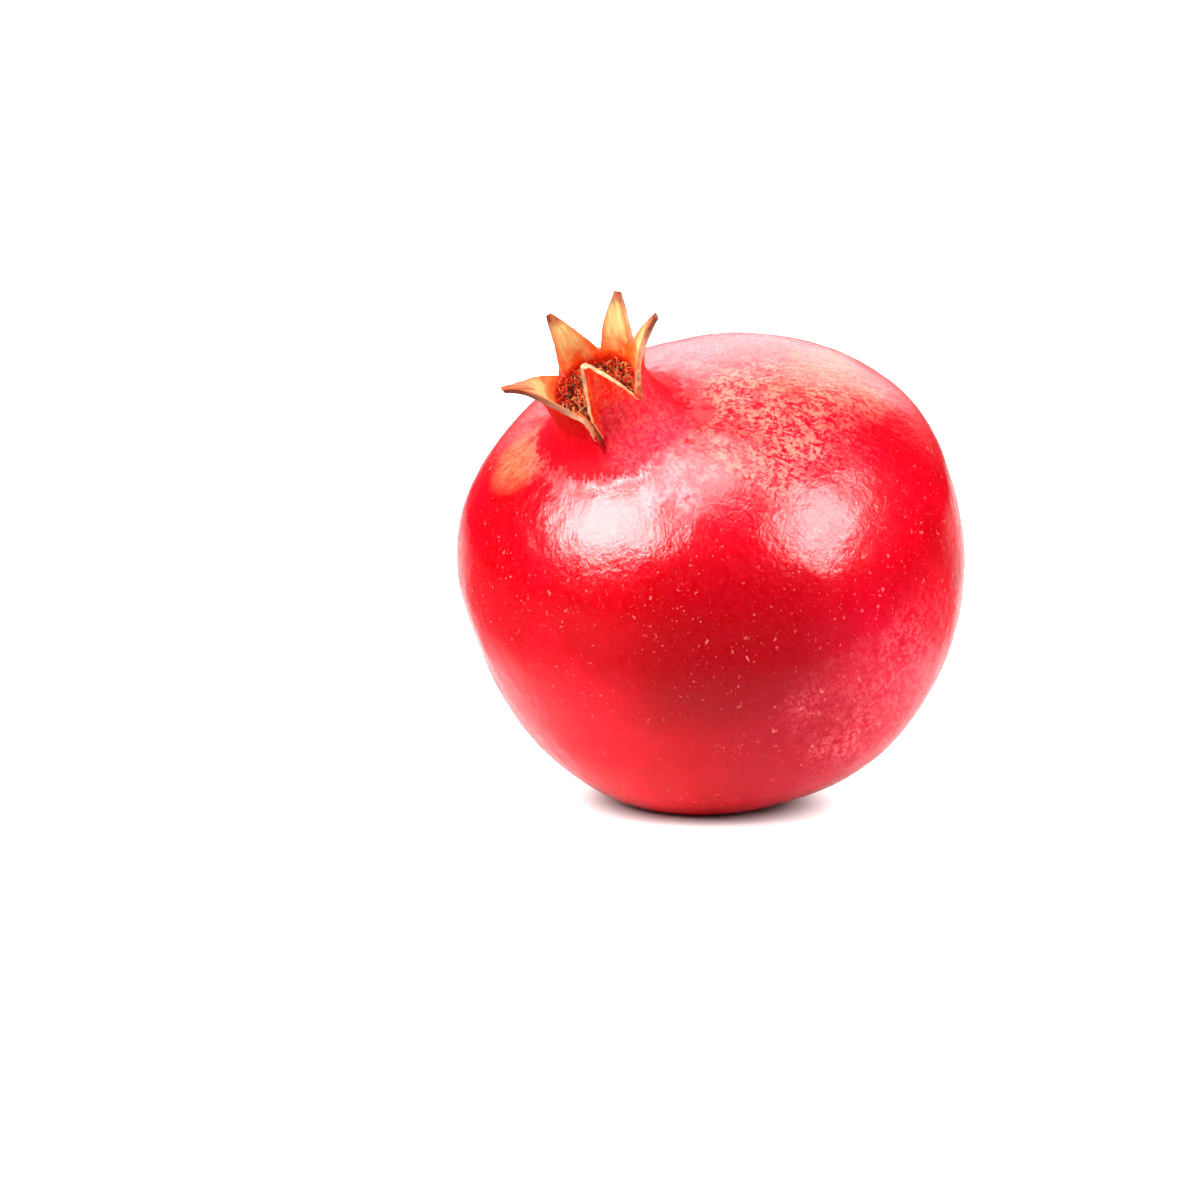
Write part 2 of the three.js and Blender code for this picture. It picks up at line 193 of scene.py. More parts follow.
# %% Lobes
class Lobe:
    def __init__(self, start, end, length, bend, late, sway, fullness, point, notch, torn, dry):
        self.start, self.end = math.radians(start), math.radians(end)
        self.columns = round(end - start)
        self.length, self.bend, self.late, self.sway = length, math.radians(bend), late, sway
        self.fullness, self.point, self.notch, self.torn = fullness, point, notch, torn
        self.dry = dry  # how far down from its tip it is brown, from 0 to 1


LOBES = [
    Lobe(25, 86, 11.7, -6, 1.5, -2.1, 1.35, 1, 0, 6.6, -0.6),
    Lobe(86, 138, 14.3, 46, 0.6, 0.3, 1.2, 1.15, -2.3, 0, 0.3),
    Lobe(138, 200, 14.7, 14, 1.5, -3.3, 1.7, 1.25, 4.6, 0, 0.25),
    Lobe(200, 258, 12.6, 0, 1.5, 1.7, 1.05, 1, 0.2, 0, 0.25),
    Lobe(258, 385, 11.6, 74, 1.1, 0.2, 1.15, 1.8, 0, 0, 1.3),
]
TIP_HALF_WIDTH, SLIT_HALF_WIDTH = 0.55, 0.25
NOTCH_SPAN, SLIT_SPAN = math.radians(30), math.radians(9)


def near_notch(azimuth, lobe, span):
    away = azimuth - lobe.start
    return max(0.0, 1 - abs(math.atan2(math.sin(away), math.cos(away))) / span)


@functools.cache
def rim_height(azimuth):
    return sum(lobe.notch * near_notch(azimuth, lobe, NOTCH_SPAN) ** 1.5 for lobe in LOBES)


@functools.cache
def slit_depth(azimuth):
    return sum(lobe.torn * near_notch(azimuth, lobe, SLIT_SPAN) ** 1.3 for lobe in LOBES)


print("lobes", [round(lobe.length, 1) for lobe in LOBES], "mm long")

# %% [markdown]
# ## From a round shape to a grown one
# The spun rind is perfectly round. These functions move each of its points to where a grown
# fruit has it: swollen over the chambers of seeds, drawn to one side of the crown, and level
# with the uneven rim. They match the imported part, so the finer skin lies where its solid is.


# %% Functions that place the points of the rind and the tube
def around(radius, azimuth, height):
    """A point at a radius from the Z axis, an azimuth in radians and a height."""
    return Vector((radius * math.cos(azimuth), radius * math.sin(azimuth), height))


def direction(azimuth, latitude):
    """A direction from the middle of the fruit, from two angles in degrees."""
    a, b = math.radians(azimuth), math.radians(latitude)
    return around(math.cos(b), a, math.sin(b))


swells = [(direction(a, b), height, math.radians(spread)) for a, b, height, spread in SWELLS]
shift = around(OFF_CENTRE, OFF_CENTRE_TOWARDS, 0)


def uneven_rind(point):
    below = 1 - ease(point.z, POLE - 13, POLE)
    reach = point.length
    grown = 0
    for towards, height, spread in swells:
        away = math.acos(max(-1, min(1, point.dot(towards) / reach))) / spread
        grown += height * math.exp(-away * away)
    azimuth = math.atan2(point.y, point.x)
    grown += RIDGE_HEIGHT * (point.xy.length / (WIDTH / 2)) ** 2 * math.cos(RIDGES * azimuth)
    point = point * (1 + grown * below / reach)
    return point + shift * (1 - ease(point.z, POLE - 38, POLE))


def tube_point(radius, height, azimuth):
    share = max(0.0, (height - POLE) / (MOUTH_HEIGHT - POLE))
    z = height + (rim_height(azimuth) - slit_depth(azimuth)) * share
    return around(radius, azimuth, z)


# %% [markdown]
# A lobe is a sheet bent twice: round the mouth of the crown, and outwards along its middle line.
# Its point is found from three shares: across from notch to notch, along from rim to tip, and
# depth from the outer face to the inner one. The same function gives both faces and the rim, so
# they meet exactly. The rim is drawn ragged, as a dried edge is.


# %% Function that places the points of a lobe
RAGGED = 0.05  # share of a lobe's half width


def middle_line(lobe, height, steps=16):
    """Reach outwards, height and bend of the lobe's middle at a height over the mouth."""
    out, up, bend = MOUTH_RADIUS, MOUTH_HEIGHT + min(0.0, height), 0.0
    climbed = max(0.0, height)
    for step in range(steps):
        bend = lobe.bend * (climbed / lobe.length * (step + 0.5) / steps) ** lobe.late
        out += math.sin(bend) * climbed / steps
        up += math.cos(bend) * climbed / steps
    return out, up, bend


def lobe_point(lobe, across, along, depth):
    middle, half = (lobe.start + lobe.end) / 2, (lobe.end - lobe.start) / 2
    azimuth = middle + max(-1.0, min(1.0, across)) * half
    whole, slit = rim_height(azimuth), slit_depth(azimuth)
    rim = whole - slit
    height = blend(rim, lobe.length - BEVEL * (1 - depth), along)
    out, up, bend = middle_line(lobe, height)
    start_out, start_up, _ = middle_line(lobe, rim)
    out -= (start_out - MOUTH_RADIUS) * (1 - along)
    up -= (start_up - MOUTH_HEIGHT - rim) * (1 - along)
    bend *= ease(along, 0, 0.4)

    q = max(0.0, (height - whole) / (lobe.length - whole))
    taper = (1 - min(1.0, q) ** lobe.fullness) ** lobe.point
    parted = SLIT_HALF_WIDTH * ease(slit, 0, 1) * ease(along, 0, 0.12)
    width = (MOUTH_RADIUS * half - parted) * taper + TIP_HALF_WIDTH * ease(q, 0.3, 1)
    side = math.copysign(1, across)
    torn_edge = noise.noise(Vector((height * 0.9, side * 7 + middle * 5, 0)))
    width *= 1 + RAGGED * torn_edge * ease(abs(across), 0.5, 1) * ease(along, 0, 0.1)
    bevel = min(BEVEL, 0.4 * width) * (1 - depth) * ease(along, 0, 0.15)
    width -= bevel * ease(abs(across), 0.4, 1)
    curl = MOUTH_RADIUS * (1 + 0.5 * along)
    turn = across * width / curl
    thinned = blend(blend(LOBE_WALL, TIP_WALL, along), EDGE_WALL, min(1.0, abs(across)) ** 3)
    wall = blend(WALL, thinned, ease(along, 0, 0.2))
    inwards = curl - (curl - wall * depth) * math.cos(turn)
    sideways = (curl - wall * depth) * math.sin(turn) + lobe.sway * along**1.4

    out, up = out - math.cos(bend) * inwards, up + math.sin(bend) * inwards
    turned = Matrix.Rotation(middle, 3, "Z")
    return turned @ Vector((out, sideways, up))


# %% [markdown]
# ## One skin for the rind and the crown
# Every sheet of the skin starts as a flat grid that is rolled or bent into place: one round the
# rind, one round the cup, and one for each face and edge of a lobe. All of them go in one bmesh,
# so that their shared edges can be welded. Two attributes stay on the points for the finish:
# "upright" is where a point is on the upright fruit, and "crown" holds how far up a lobe it is,
# how near to the lobe's edge, and how dry. A third one, "inside", is only for the relief.


# %% Helpers that add a sheet of skin
RIND, CROWN, INNER, RIM = 0, 1, 2, 3  # material slots of the skin

skin = bmesh.new()
upright_layer = skin.verts.layers.float_vector.new("upright")
crown_layer = skin.verts.layers.float_vector.new("crown")
inside_layer = skin.verts.layers.float.new("inside")


def add_sheet(columns, rows, material, place):
    """Adds a grid and moves each point with place(vert, u, v), where u and v go from 0 to 1."""
    first_face = len(skin.faces)
    made = bmesh.ops.create_grid(skin, x_segments=columns, y_segments=rows, size=1)
    for vert in made["verts"]:
        place(vert, (vert.co.x + 1) / 2, (vert.co.y + 1) / 2)
    skin.faces.ensure_lookup_table()
    for face in skin.faces[first_face:]:
        face.material_index = material


# %% Functions that place the points of each sheet
def place_rind(vert, u, v):
    point = outline[round(v * (len(outline) - 1))]
    vert.co = uneven_rind(tube_point(point.x, point.z, u * 2 * math.pi))


def place_cup(vert, u, v):
    point = cup_outline[round(v * CUP_ROWS)]
    vert.co = tube_point(point.x, point.z, u * 2 * math.pi)


def place_on(lobe, across, along, depth):
    """Makes a function that puts the points of a grid on the lobe. Each of its three shares is a
    number, or a function of u and v."""

    def place(vert, u, v):
        a, b, c = (share(u, v) if callable(share) else share for share in (across, along, depth))
        vert.co = lobe_point(lobe, a, b, c)
        near_edge = min(1.0, abs(a)) * ease(b, 0, 0.15)
        dryness = ease(b + 0.35 * lobe.dry + 0.1 * noise.noise(vert.co * 0.6), 0.75, 1.05)
        vert[crown_layer] = Vector((b, near_edge, dryness))
        vert[inside_layer] = c

    return place


# %% Build the rind, the cup and the lobes, and weld them
LOBE_ROWS, RIM_COLUMNS = 26, 4
SEAM = 0.00002  # two sheets that meet are closer than this all along their edges
COLLAR_RADIUS = 14.4  # where the gloss of the rind ends, in a ragged line
RIM_BULGE = 0.15  # how far the rim is rounded out between the two faces

add_sheet(COLUMNS, len(outline) - 1, RIND, place_rind)
for face in skin.faces:
    middle = face.calc_center_median()
    ragged = COLLAR_RADIUS + 1.4 * noise.noise(middle * 0.25) + 1.2 * noise.noise(middle * 1.1)
    ragged += 2.4 * noise.noise(middle * 3)
    if middle.z > POLE - 8 and middle.xy.length < ragged:
        face.material_index = CROWN
add_sheet(COLUMNS, CUP_ROWS, INNER, place_cup)
for lobe in LOBES:
    half_width = MOUTH_RADIUS * (lobe.end - lobe.start) / 2

    def bulge(depth, half_width=half_width):
        return 1 + RIM_BULGE * 4 * depth * (1 - depth) / half_width

    # The two faces of the lobe, its two side edges, and the edge at its tip.
    for depth, material in ((0, CROWN), (1, INNER)):
        place = place_on(lobe, lambda u, v: 2 * u - 1, lambda u, v: v, depth)
        add_sheet(lobe.columns, LOBE_ROWS, material, place)
    for side in (-1, 1):
        place = place_on(
            lobe,
            lambda u, v, side=side: side * blend(1, bulge(u), ease(v, 0, 0.1)),
            lambda u, v: v,
            lambda u, v: u,
        )
        add_sheet(RIM_COLUMNS, LOBE_ROWS, RIM, place)
    place = place_on(lobe, lambda u, v: (2 * u - 1) * bulge(v), 1, lambda u, v: v)
    add_sheet(lobe.columns, RIM_COLUMNS, RIM, place)
# Only the edges of the sheets are welded: inside a lobe's narrow tip the points are so close to
# each other that a weld would join some of them too, and leave tears.
seams = [vert for vert in skin.verts if vert.is_boundary]
bmesh.ops.remove_doubles(skin, verts=seams, dist=SEAM)
bmesh.ops.recalc_face_normals(skin, faces=skin.faces)
open_edges = sum(1 for edge in skin.edges if len(edge.link_faces) != 2)
print("skin:", len(skin.verts), "points,", len(skin.faces), "faces,", open_edges, "open edges")

# %% [markdown]
# ## Relief
# A real rind is leather stretched over seeds: broad shallow dents, a finer grain, furrows that
# run into the neck and the stalk, and ribs up the outside of the crown. Each is a noise of its
# own scale, added along the surface's normal, so highlights break up on it as real shape does.


# %% Relief functions
def grain(point, size):
    """Smooth noise from -1 to 1 whose bumps are about size across."""
    return noise.noise(point / size)


def round_the_axis(point, count, length):
    """Where a point lies for noise that runs along the meridians: count features to a radian."""
    return around(count, math.atan2(point.y, point.x), point.z / length)


# Dents of the rind: height, size, and an offset that keeps one from repeating another.
DENTS = [
    (0.22, 13, Vector((0, 0, 0))),
    (0.12, 6, Vector((40, 0, 0))),
    (0.05, 2.6, Vector((0, 40, 0))),
]


def rind_relief(point):
    radius = point.xy.length
    upper = ease(point.z, 0, 10)
    near_crown = (1 - ease(radius, 13, 34)) * upper
    near_stalk = (1 - ease(radius, 4, 22)) * (1 - upper)
    relief = sum(height * grain(point + offset, size) for height, size, offset in DENTS)
    relief += 0.1 * near_crown * noise.noise(round_the_axis(point, 6, 8))
    relief += 0.35 * near_stalk * noise.noise(round_the_axis(point, 4, 30))
    return relief


def crown_relief(point, along, depth):
    dry = ease(along, 0.45, 1)
    ribs = noise.noise(round_the_axis(point, 8, 9)) * (0.14 if depth < 0.5 else 0.07)
    wrinkles = grain(point, 1.5) * blend(0.05, 0.16, dry)
    return ribs + wrinkles


# %% Move the points of the skin along its normals
skin.normal_update()
moves = []
for vert in skin.verts:
    point, crown = vert.co.copy(), vert[crown_layer]
    vert[upright_layer] = point
    on_crown = ease(point.z, POLE + 1, POLE + 6)
    relief = blend(rind_relief(point), crown_relief(point, crown.x, vert[inside_layer]), on_crown)
    moves.append(vert.normal * relief)
for vert, move in zip(skin.verts, moves):
    vert.co += move
print("relief up to", round(max(move.length for move in moves), 2), "mm")

# %% [markdown]
# ## Tip it over and set it down
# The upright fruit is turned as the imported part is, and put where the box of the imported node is.
# Then the spot that it rests on is pressed flat, with the same soft edge as in the part.


# %% Pose of the fruit
node_low, node_high = (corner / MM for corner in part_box("fruit"))
tipped = Euler((0, TIPPED, LEANS_TOWARDS), "XYZ").to_matrix().to_4x4()
turned = [tipped @ vert[upright_layer] for vert in skin.verts]
low = Vector(min(point[axis] for point in turned) for axis in range(3))
high = Vector(max(point[axis] for point in turned) for axis in range(3))
place = (node_low + node_high) / 2 - (low + high) / 2
place.z = node_high.z - high.z
pose = Matrix.Translation(place) @ tipped
bmesh.ops.transform(skin, matrix=pose, verts=skin.verts)
for vert in skin.verts:
    if vert.co.z <= -PRESS_EDGE:
        vert.co.z = 0
    elif vert.co.z < PRESS_EDGE:
        vert.co.z = (vert.co.z + PRESS_EDGE) ** 2 / (4 * PRESS_EDGE)
print("fruit placed at", [round(x, 2) for x in place], "mm")


# %% Make an object of the skin
def mesh_from(bm, name):
    """The mesh of a bmesh, which is freed."""
    mesh = bpy.data.meshes.new(name)
    bm.to_mesh(mesh)
    bm.free()
    return mesh


def piece_from(bm, name, nodes, materials, soft=()):
    """Turns a bmesh in millimetres into a piece that stands for its CAD nodes. Edges between two
    materials are sharp, unless both are in soft."""
    bmesh.ops.scale(bm, vec=(MM, MM, MM), verts=bm.verts)
    for face in bm.faces:
        face.smooth = True
    for edge in bm.edges:
        meeting = {face.material_index for face in edge.link_faces}
        if len(meeting) > 1 and not meeting <= set(soft):
            edge.smooth = False
    mesh = mesh_from(bm, name)
    piece = bpy.data.objects.new(name, mesh)
    bpy.context.scene.collection.objects.link(piece)
    for material in materials:
        mesh.materials.append(material)
    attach(piece, "root")
    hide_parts(*nodes)
    mesh.calc_loop_triangles()
    print(name, len(mesh.loop_triangles), "triangles")


skin_finishes = [
    bpy.data.materials.new(name) for name in ("rind", "crown_outside", "crown_inside", "crown_rim")
]
rind_finish, crown_finish, inner_finish, rim_finish = skin_finishes
piece_from(skin, "pomegranate_skin", ["fruit"], skin_finishes, (RIND, CROWN))

# %% [markdown]
# ## Dried stamens
# The cup of the crown is packed with the dried stamens of the flower: several hundred curled
# threads, some of which still have their anther. One straight thread is made as a thin prism cut
# into steps, and copies of it are bent along curves of their own. The draws are seeded, so every
# run gives the same tuft. Most threads are rooted in a mat at the bottom of the cup, which stands
# for the oldest ones, and shorter ones line the wall above it.

# %% A straight thread and an anther to copy
THREADS, WALL_THREADS = 560, 320
THREAD_SIDES, THREAD_STEPS = 4, 8
THREAD_RADIUS = 0.14
ANTHER_LENGTH, ANTHER_WIDTH = 0.46, 0.25  # half of each size
ANTHER_SHARE = 0.4  # of the threads that still have their anther

thread_bm = bmesh.new()
bmesh.ops.create_cone(
    thread_bm, cap_ends=True, segments=THREAD_SIDES, radius1=1, radius2=1, depth=1
)
bmesh.ops.translate(thread_bm, vec=(0, 0, 0.5), verts=thread_bm.verts)
sides = [e for e in thread_bm.edges if e.verts[0].co.z != e.verts[1].co.z]
bmesh.ops.subdivide_edges(thread_bm, edges=sides, cuts=THREAD_STEPS - 1, use_grid_fill=True)
thread_mesh = mesh_from(thread_bm, "straight_thread")

anther_bm = bmesh.new()
bmesh.ops.create_icosphere(anther_bm, subdivisions=1, radius=1)
bmesh.ops.scale(anther_bm, vec=(ANTHER_WIDTH, ANTHER_WIDTH, ANTHER_LENGTH), verts=anther_bm.verts)
anther_mesh = mesh_from(anther_bm, "anther")
print("thread", len(thread_mesh.polygons), "faces; anther", len(anther_mesh.polygons), "faces")

# %% The mat on the wall of the cup
MAT_CLEARANCE, MAT_THICKNESS = 0.45, 1.1
MAT_TOP = 0.42  # share of the cup's outline where the mat ends
MAT_STEPS, MAT_COLUMNS = 14, 96
THREAD, ANTHER = 0, 1  # material slots of the tuft
WELD = 0.001  # points of a spun form that are closer than this are one

mat = bmesh.new()


def cup_point(share, inset):
    """A point of the cup's outline, brought inwards from its wall."""
    place = share * CUP_ROWS
    row = min(CUP_ROWS - 1, int(place))
    start, end = cup_outline[row], cup_outline[row + 1]
    along = (end - start).normalized()
    return start.lerp(end, place - row) + Vector((along.z, 0, -along.x)) * inset


def spin_outline(bm, points, columns):
    """Turns an outline that starts and ends on the Z axis into a closed form round it."""
    section = [bm.verts.new(point) for point in points]
    edges = [bm.edges.new(pair) for pair in zip(section, section[1:])]
    turn = {"cent": (0, 0, 0), "axis": (0, 0, 1), "angle": 2 * math.pi, "steps": columns}
    bmesh.ops.spin(bm, geom=section + edges, use_merge=True, **turn)
    bmesh.ops.remove_doubles(bm, verts=bm.verts, dist=WELD)
    bmesh.ops.recalc_face_normals(bm, faces=bm.faces)
    bm.normal_update()


shares = [blend(MAT_TOP, 1, step / MAT_STEPS) for step in range(MAT_STEPS + 1)]
under = [cup_point(share, MAT_CLEARANCE) for share in shares]
over = [cup_point(share, MAT_CLEARANCE + MAT_THICKNESS) for share in shares]
under[-1].x = over[-1].x = 0
spin_outline(mat, under[::-1] + over, MAT_COLUMNS)
for vert in mat.verts:
    vert.co += vert.normal * 0.3 * grain(vert.co, 1.1)
tuft = bmesh.new()
thread_layer = tuft.verts.layers.float_vector.new("thread")
tuft.from_mesh(mesh_from(mat, "mat"))
# The mat gets share 0, so the painted shade at the roots of the threads covers it too.
for vert in tuft.verts:
    vert[thread_layer] = Vector((0, 0.3, 0))
print("mat", len(tuft.faces), "faces")


# %% Functions that bend a copy of the thread along a curve
draw = random.Random(11)


def add_copy(mesh, material):
    """Adds a copy of a mesh to the tuft and returns its points."""
    first_vert, first_face = len(tuft.verts), len(tuft.faces)
    tuft.from_mesh(mesh)
    tuft.verts.ensure_lookup_table()
    tuft.faces.ensure_lookup_table()
    for face in tuft.faces[first_face:]:
        face.material_index = material
    return tuft.verts[first_vert:]


def add_thread(root, tip, curl, radius, tone):
    """A thread from root to tip, bowed out of line by curl, and its anther if it has one."""
    half_way = root.lerp(tip, 0.55) + curl
    up = Vector((0, 0, (tip - root).length * 0.3))
    points = interpolate_bezier(root, root + up + curl * 0.5, half_way, tip, THREAD_STEPS + 1)
    for vert in add_copy(thread_mesh, THREAD):
        step = round(vert.co.z * THREAD_STEPS)
        share = step / THREAD_STEPS
        ahead = points[min(step + 1, THREAD_STEPS)] - points[max(step - 1, 0)]
        turn = ahead.to_track_quat("Z", "Y")
        width = radius * blend(1.15, 0.75, share)
        vert.co = points[step] + turn @ Vector((vert.co.x * width, vert.co.y * width, 0))
        vert[thread_layer] = Vector((share, tone, 0))
    turn = Euler([draw.uniform(-1.2, 1.2) for _ in range(3)]).to_quaternion()
    if draw.random() > ANTHER_SHARE:
        return
    for vert in add_copy(anther_mesh, ANTHER):
        vert.co = points[-1] + turn @ vert.co
        vert[thread_layer] = Vector((1, tone, 0))


# %% Fill the cup with threads
GOLDEN_ANGLE = 2.399963
ROOTS, WALL_ROOTS = (0.3, 0.92), (0.0, 0.35)  # shares of the cup's outline
TIP_RADII, TIP_RISES, TIPS_SLOPE = (1.2, 6.2), (-4.5, 2.2), 0.15
CURL, WALL_CURL = 2.2, 1.2

for index in range(THREADS):
    azimuth = index * GOLDEN_ANGLE
    root_at = cup_point(draw.uniform(*ROOTS), MAT_CLEARANCE + 0.2)
    root = around(root_at.x, azimuth, root_at.z)
    tip_radius = draw.uniform(*TIP_RADII)
    tip_height = MOUTH_HEIGHT + draw.uniform(*TIP_RISES) - tip_radius * TIPS_SLOPE
    tip = around(tip_radius, azimuth + draw.uniform(-0.6, 0.6), tip_height)
    curl = Vector([draw.uniform(-CURL, CURL) for _ in range(3)])
    add_thread(root, tip, curl, THREAD_RADIUS * draw.uniform(0.75, 1.25), draw.random())
for index in range(WALL_THREADS):
    azimuth = index * GOLDEN_ANGLE
    root_at = cup_point(draw.uniform(*WALL_ROOTS), 0.05)
    root = around(root_at.x, azimuth, root_at.z)
    tip_radius = root_at.x - draw.uniform(0.4, 1.8)
    tip_azimuth = azimuth + draw.uniform(-0.3, 0.3)
    tip = around(tip_radius, tip_azimuth, root_at.z + draw.uniform(-1.0, 1.6))
    curl = Vector([draw.uniform(-WALL_CURL, WALL_CURL) for _ in range(3)])
    # Beside the slit the wall threads take the tan to dark brown tones: partly their own colour,
    # partly painted shade in the slit.
    beside_slit = math.cos(azimuth - LOBES[0].start) > 0.6
    tone = draw.uniform(0.5, 1.0) if beside_slit else draw.uniform(0.0, 0.7)
    add_thread(root, tip, curl, THREAD_RADIUS * draw.uniform(0.6, 1.0), tone)
bmesh.ops.transform(tuft, matrix=pose, verts=tuft.verts)
thread_finish = bpy.data.materials.new("dried_thread")
anther_finish = bpy.data.materials.new("dried_anther")
tuft_finishes = [thread_finish, anther_finish]
print(THREADS + WALL_THREADS, "threads")
piece_from(tuft, "stamen_tuft", ["stamens"], tuft_finishes)

# %% [markdown]
# ## Stub of the stalk
# The fruit was cut from its twig, and a few millimetres of wood are left in a shallow hollow.
# Its outline is spun, the bark is furrowed along the grain, and the cut end is a ragged disc
# with the rings of the wood.

# %% Stub of the stalk
STUB_RADIUS, STUB_LENGTH = 2.9, 3.4
GAP = 0.3  # between the rind and the stub
STUB_COLUMNS = 72
BARK, CUT = 0, 1  # material slots of the stub

seat = uneven_rind(tube_point(0, outline[0].z, 0))
bark_outline = interpolate_bezier(
    Vector((STUB_RADIUS * 1.1, 0, -GAP - 0.3)),
    Vector((STUB_RADIUS * 1.32, 0, -GAP - 1)),
    Vector((STUB_RADIUS * 0.92, 0, -GAP - 1.4)),
    Vector((STUB_RADIUS * 0.94, 0, -STUB_LENGTH * 0.9)),
    14,
)
root_disc = [Vector((STUB_RADIUS * 1.1 * step / 5, 0, -GAP)) for step in range(6)]
cut_disc = [Vector((STUB_RADIUS * 0.84 * (1 - step / 8), 0, -STUB_LENGTH)) for step in range(9)]

stub = bmesh.new()
wood_layer = stub.verts.layers.float_vector.new("upright")
spin_outline(stub, root_disc + bark_outline + cut_disc, STUB_COLUMNS)
for face in stub.faces:
    centre = face.calc_center_median()
    face.material_index = CUT if centre.z < -STUB_LENGTH * 0.95 else BARK
for vert in stub.verts:
    vert[wood_layer] = vert.co
    if vert.co.z > -GAP - 0.01:
        continue
    furrow = noise.noise(round_the_axis(vert.co, 5, 2.5)) * 0.22 + grain(vert.co, 0.7) * 0.08
    if vert.co.z < -STUB_LENGTH * 0.95:
        vert.co.z += 0.25 * grain(vert.co, 1.4) + 0.12
    else:
        vert.co += vert.normal * furrow
bmesh.ops.translate(stub, vec=seat, verts=stub.verts)
bmesh.ops.transform(stub, matrix=pose, verts=stub.verts)
bark_finish = bpy.data.materials.new("bark")
cut_finish = bpy.data.materials.new("cut_wood")
piece_from(stub, "stalk_stub", ["stem_stub"], [bark_finish, cut_finish])

# %% [markdown]
# ## Building finishes out of nodes
# A finish is a small graph: where a point is on the fruit goes in, and masks mix one colour into
# another. These helpers add one node each and link what they are given, so that a finish reads
# from top to bottom like a recipe.


# %% Helpers for nodes
def srgb(red, green, blue):
    """A colour as a screen shows it, 0 to 255, turned into the linear one that a shader needs."""

    def linear(value):
        value /= 255
        return value / 12.92 if value <= 0.04045 else ((value + 0.055) / 1.055) ** 2.4

    return (linear(red), linear(green), linear(blue), 1)


def give(tree, socket, value):
    """Links a socket to another node's output, or sets its value."""
    if isinstance(value, bpy.types.NodeSocket):
        tree.links.new(value, socket)
    else:
        socket.default_value = value


def add(tree, kind, settings=None, **inputs):
    made = tree.nodes.new(kind)
    for name, value in (settings or {}).items():
        setattr(made, name, value)
    for name, value in inputs.items():
        give(tree, made.inputs[name.replace("_", " ")], value)
    return made


def maths(tree, operation, a, b=0.0):
    made = add(tree, "ShaderNodeMath", {"operation": operation})
    give(tree, made.inputs[0], a)
    give(tree, made.inputs[1], b)
    return made.outputs[0]


def times(tree, a, b):
    return maths(tree, "MULTIPLY", a, b)


def plus(tree, a, b):
    return maths(tree, "ADD", a, b)


def vector_maths(tree, operation, a, b=(0, 0, 0)):
    made = add(tree, "ShaderNodeVectorMath", {"operation": operation})
    give(tree, made.inputs[0], a)
    give(tree, made.inputs[1], b)
    return made.outputs["Value" if operation in ("DOT_PRODUCT", "LENGTH") else "Vector"]


def scaled(tree, vector, scale):
    made = add(tree, "ShaderNodeVectorMath", {"operation": "SCALE"})
    give(tree, made.inputs[0], vector)
    give(tree, made.inputs["Scale"], scale)
    return made.outputs["Vector"]


def between(tree, value, low, high, start=0.0, end=1.0):
    """A smooth step: start below low, end above high. low may be above high."""
    made = add(tree, "ShaderNodeMapRange", {"interpolation_type": "SMOOTHSTEP"})
    for name, given in (("Value", value), ("From Min", low), ("From Max", high)):
        give(tree, made.inputs[name], given)
    give(tree, made.inputs["To Min"], start)
    give(tree, made.inputs["To Max"], end)
    return made.outputs["Result"]


def mix(tree, share, a, b):
    """Colour a, with b mixed in by share."""
    made = add(tree, "ShaderNodeMix", {"data_type": "RGBA"})
    give(tree, made.inputs[0], share)
    give(tree, made.inputs[6], a)
    give(tree, made.inputs[7], b)
    return made.outputs[2]


def noise_at(tree, place, scale, detail=3.0, rough=0.55):
    settings = {"Scale": scale, "Detail": detail, "Roughness": rough}
    return add(tree, "ShaderNodeTexNoise", Vector=place, **settings).outputs[0]


def make_group(name, inputs, outputs):
    """An empty shader group with named sockets: {name: default}, and a list of outputs."""
    tree = bpy.data.node_groups.new(name, "ShaderNodeTree")
    for socket, default in inputs.items():
        kind = "NodeSocketVector" if default is None else "NodeSocketFloat"
        made = tree.interface.new_socket(name=socket, in_out="INPUT", socket_type=kind)
        if default is not None:
            made.default_value = default
    for socket in outputs:
        tree.interface.new_socket(name=socket, in_out="OUTPUT", socket_type="NodeSocketFloat")
    return tree, tree.nodes.new("NodeGroupInput"), tree.nodes.new("NodeGroupOutput")


def use(tree, group, **inputs):
    """The mask of a group that is placed in a finish, with its own values."""
    return add(tree, "ShaderNodeGroup", {"node_tree": group}, **inputs).outputs["Mask"]


# %% [markdown]
# ## Effects that several finishes share
# - Fibres run along the meridians of the fruit, from stalk to crown: in the rind, in the lobes
#   and in the bark. Noise on a circle instead of on an angle has no seam. Height is the distance
#   along the fibre, which each finish measures in its own way.
# - Blotches are soft patches of any size, with a ragged edge.
# - Specks are the small pale corky dots of the rind, which has them in three sizes.

# %% Group: fibres
fibres, given, result = make_group(
    "fibres",
    {"Place": None, "Height": 0.0, "Count": 40.0, "Length": 8.0, "Waviness": 0.4},
    ["Mask"],
)
sideways = vector_maths(fibres, "MULTIPLY", given.outputs["Place"], (1, 1, 0))
on_circle = vector_maths(fibres, "NORMALIZE", sideways)
counted = scaled(fibres, on_circle, given.outputs["Count"])
upwards = maths(fibres, "DIVIDE", given.outputs["Height"], given.outputs["Length"])
climbing = add(fibres, "ShaderNodeCombineXYZ", Z=upwards).outputs["Vector"]
place = vector_maths(fibres, "ADD", counted, climbing)
wave = add(fibres, "ShaderNodeTexNoise", Vector=given.outputs["Place"], Scale=0.35, Detail=1.0)
waves = scaled(fibres, wave.outputs["Color"], given.outputs["Waviness"])
place = vector_maths(fibres, "ADD", place, waves)
streaks = noise_at(fibres, place, 1.0, 3.0, 0.6)
give(fibres, result.inputs["Mask"], between(fibres, streaks, 0.35, 0.68))
print("group", fibres.name)

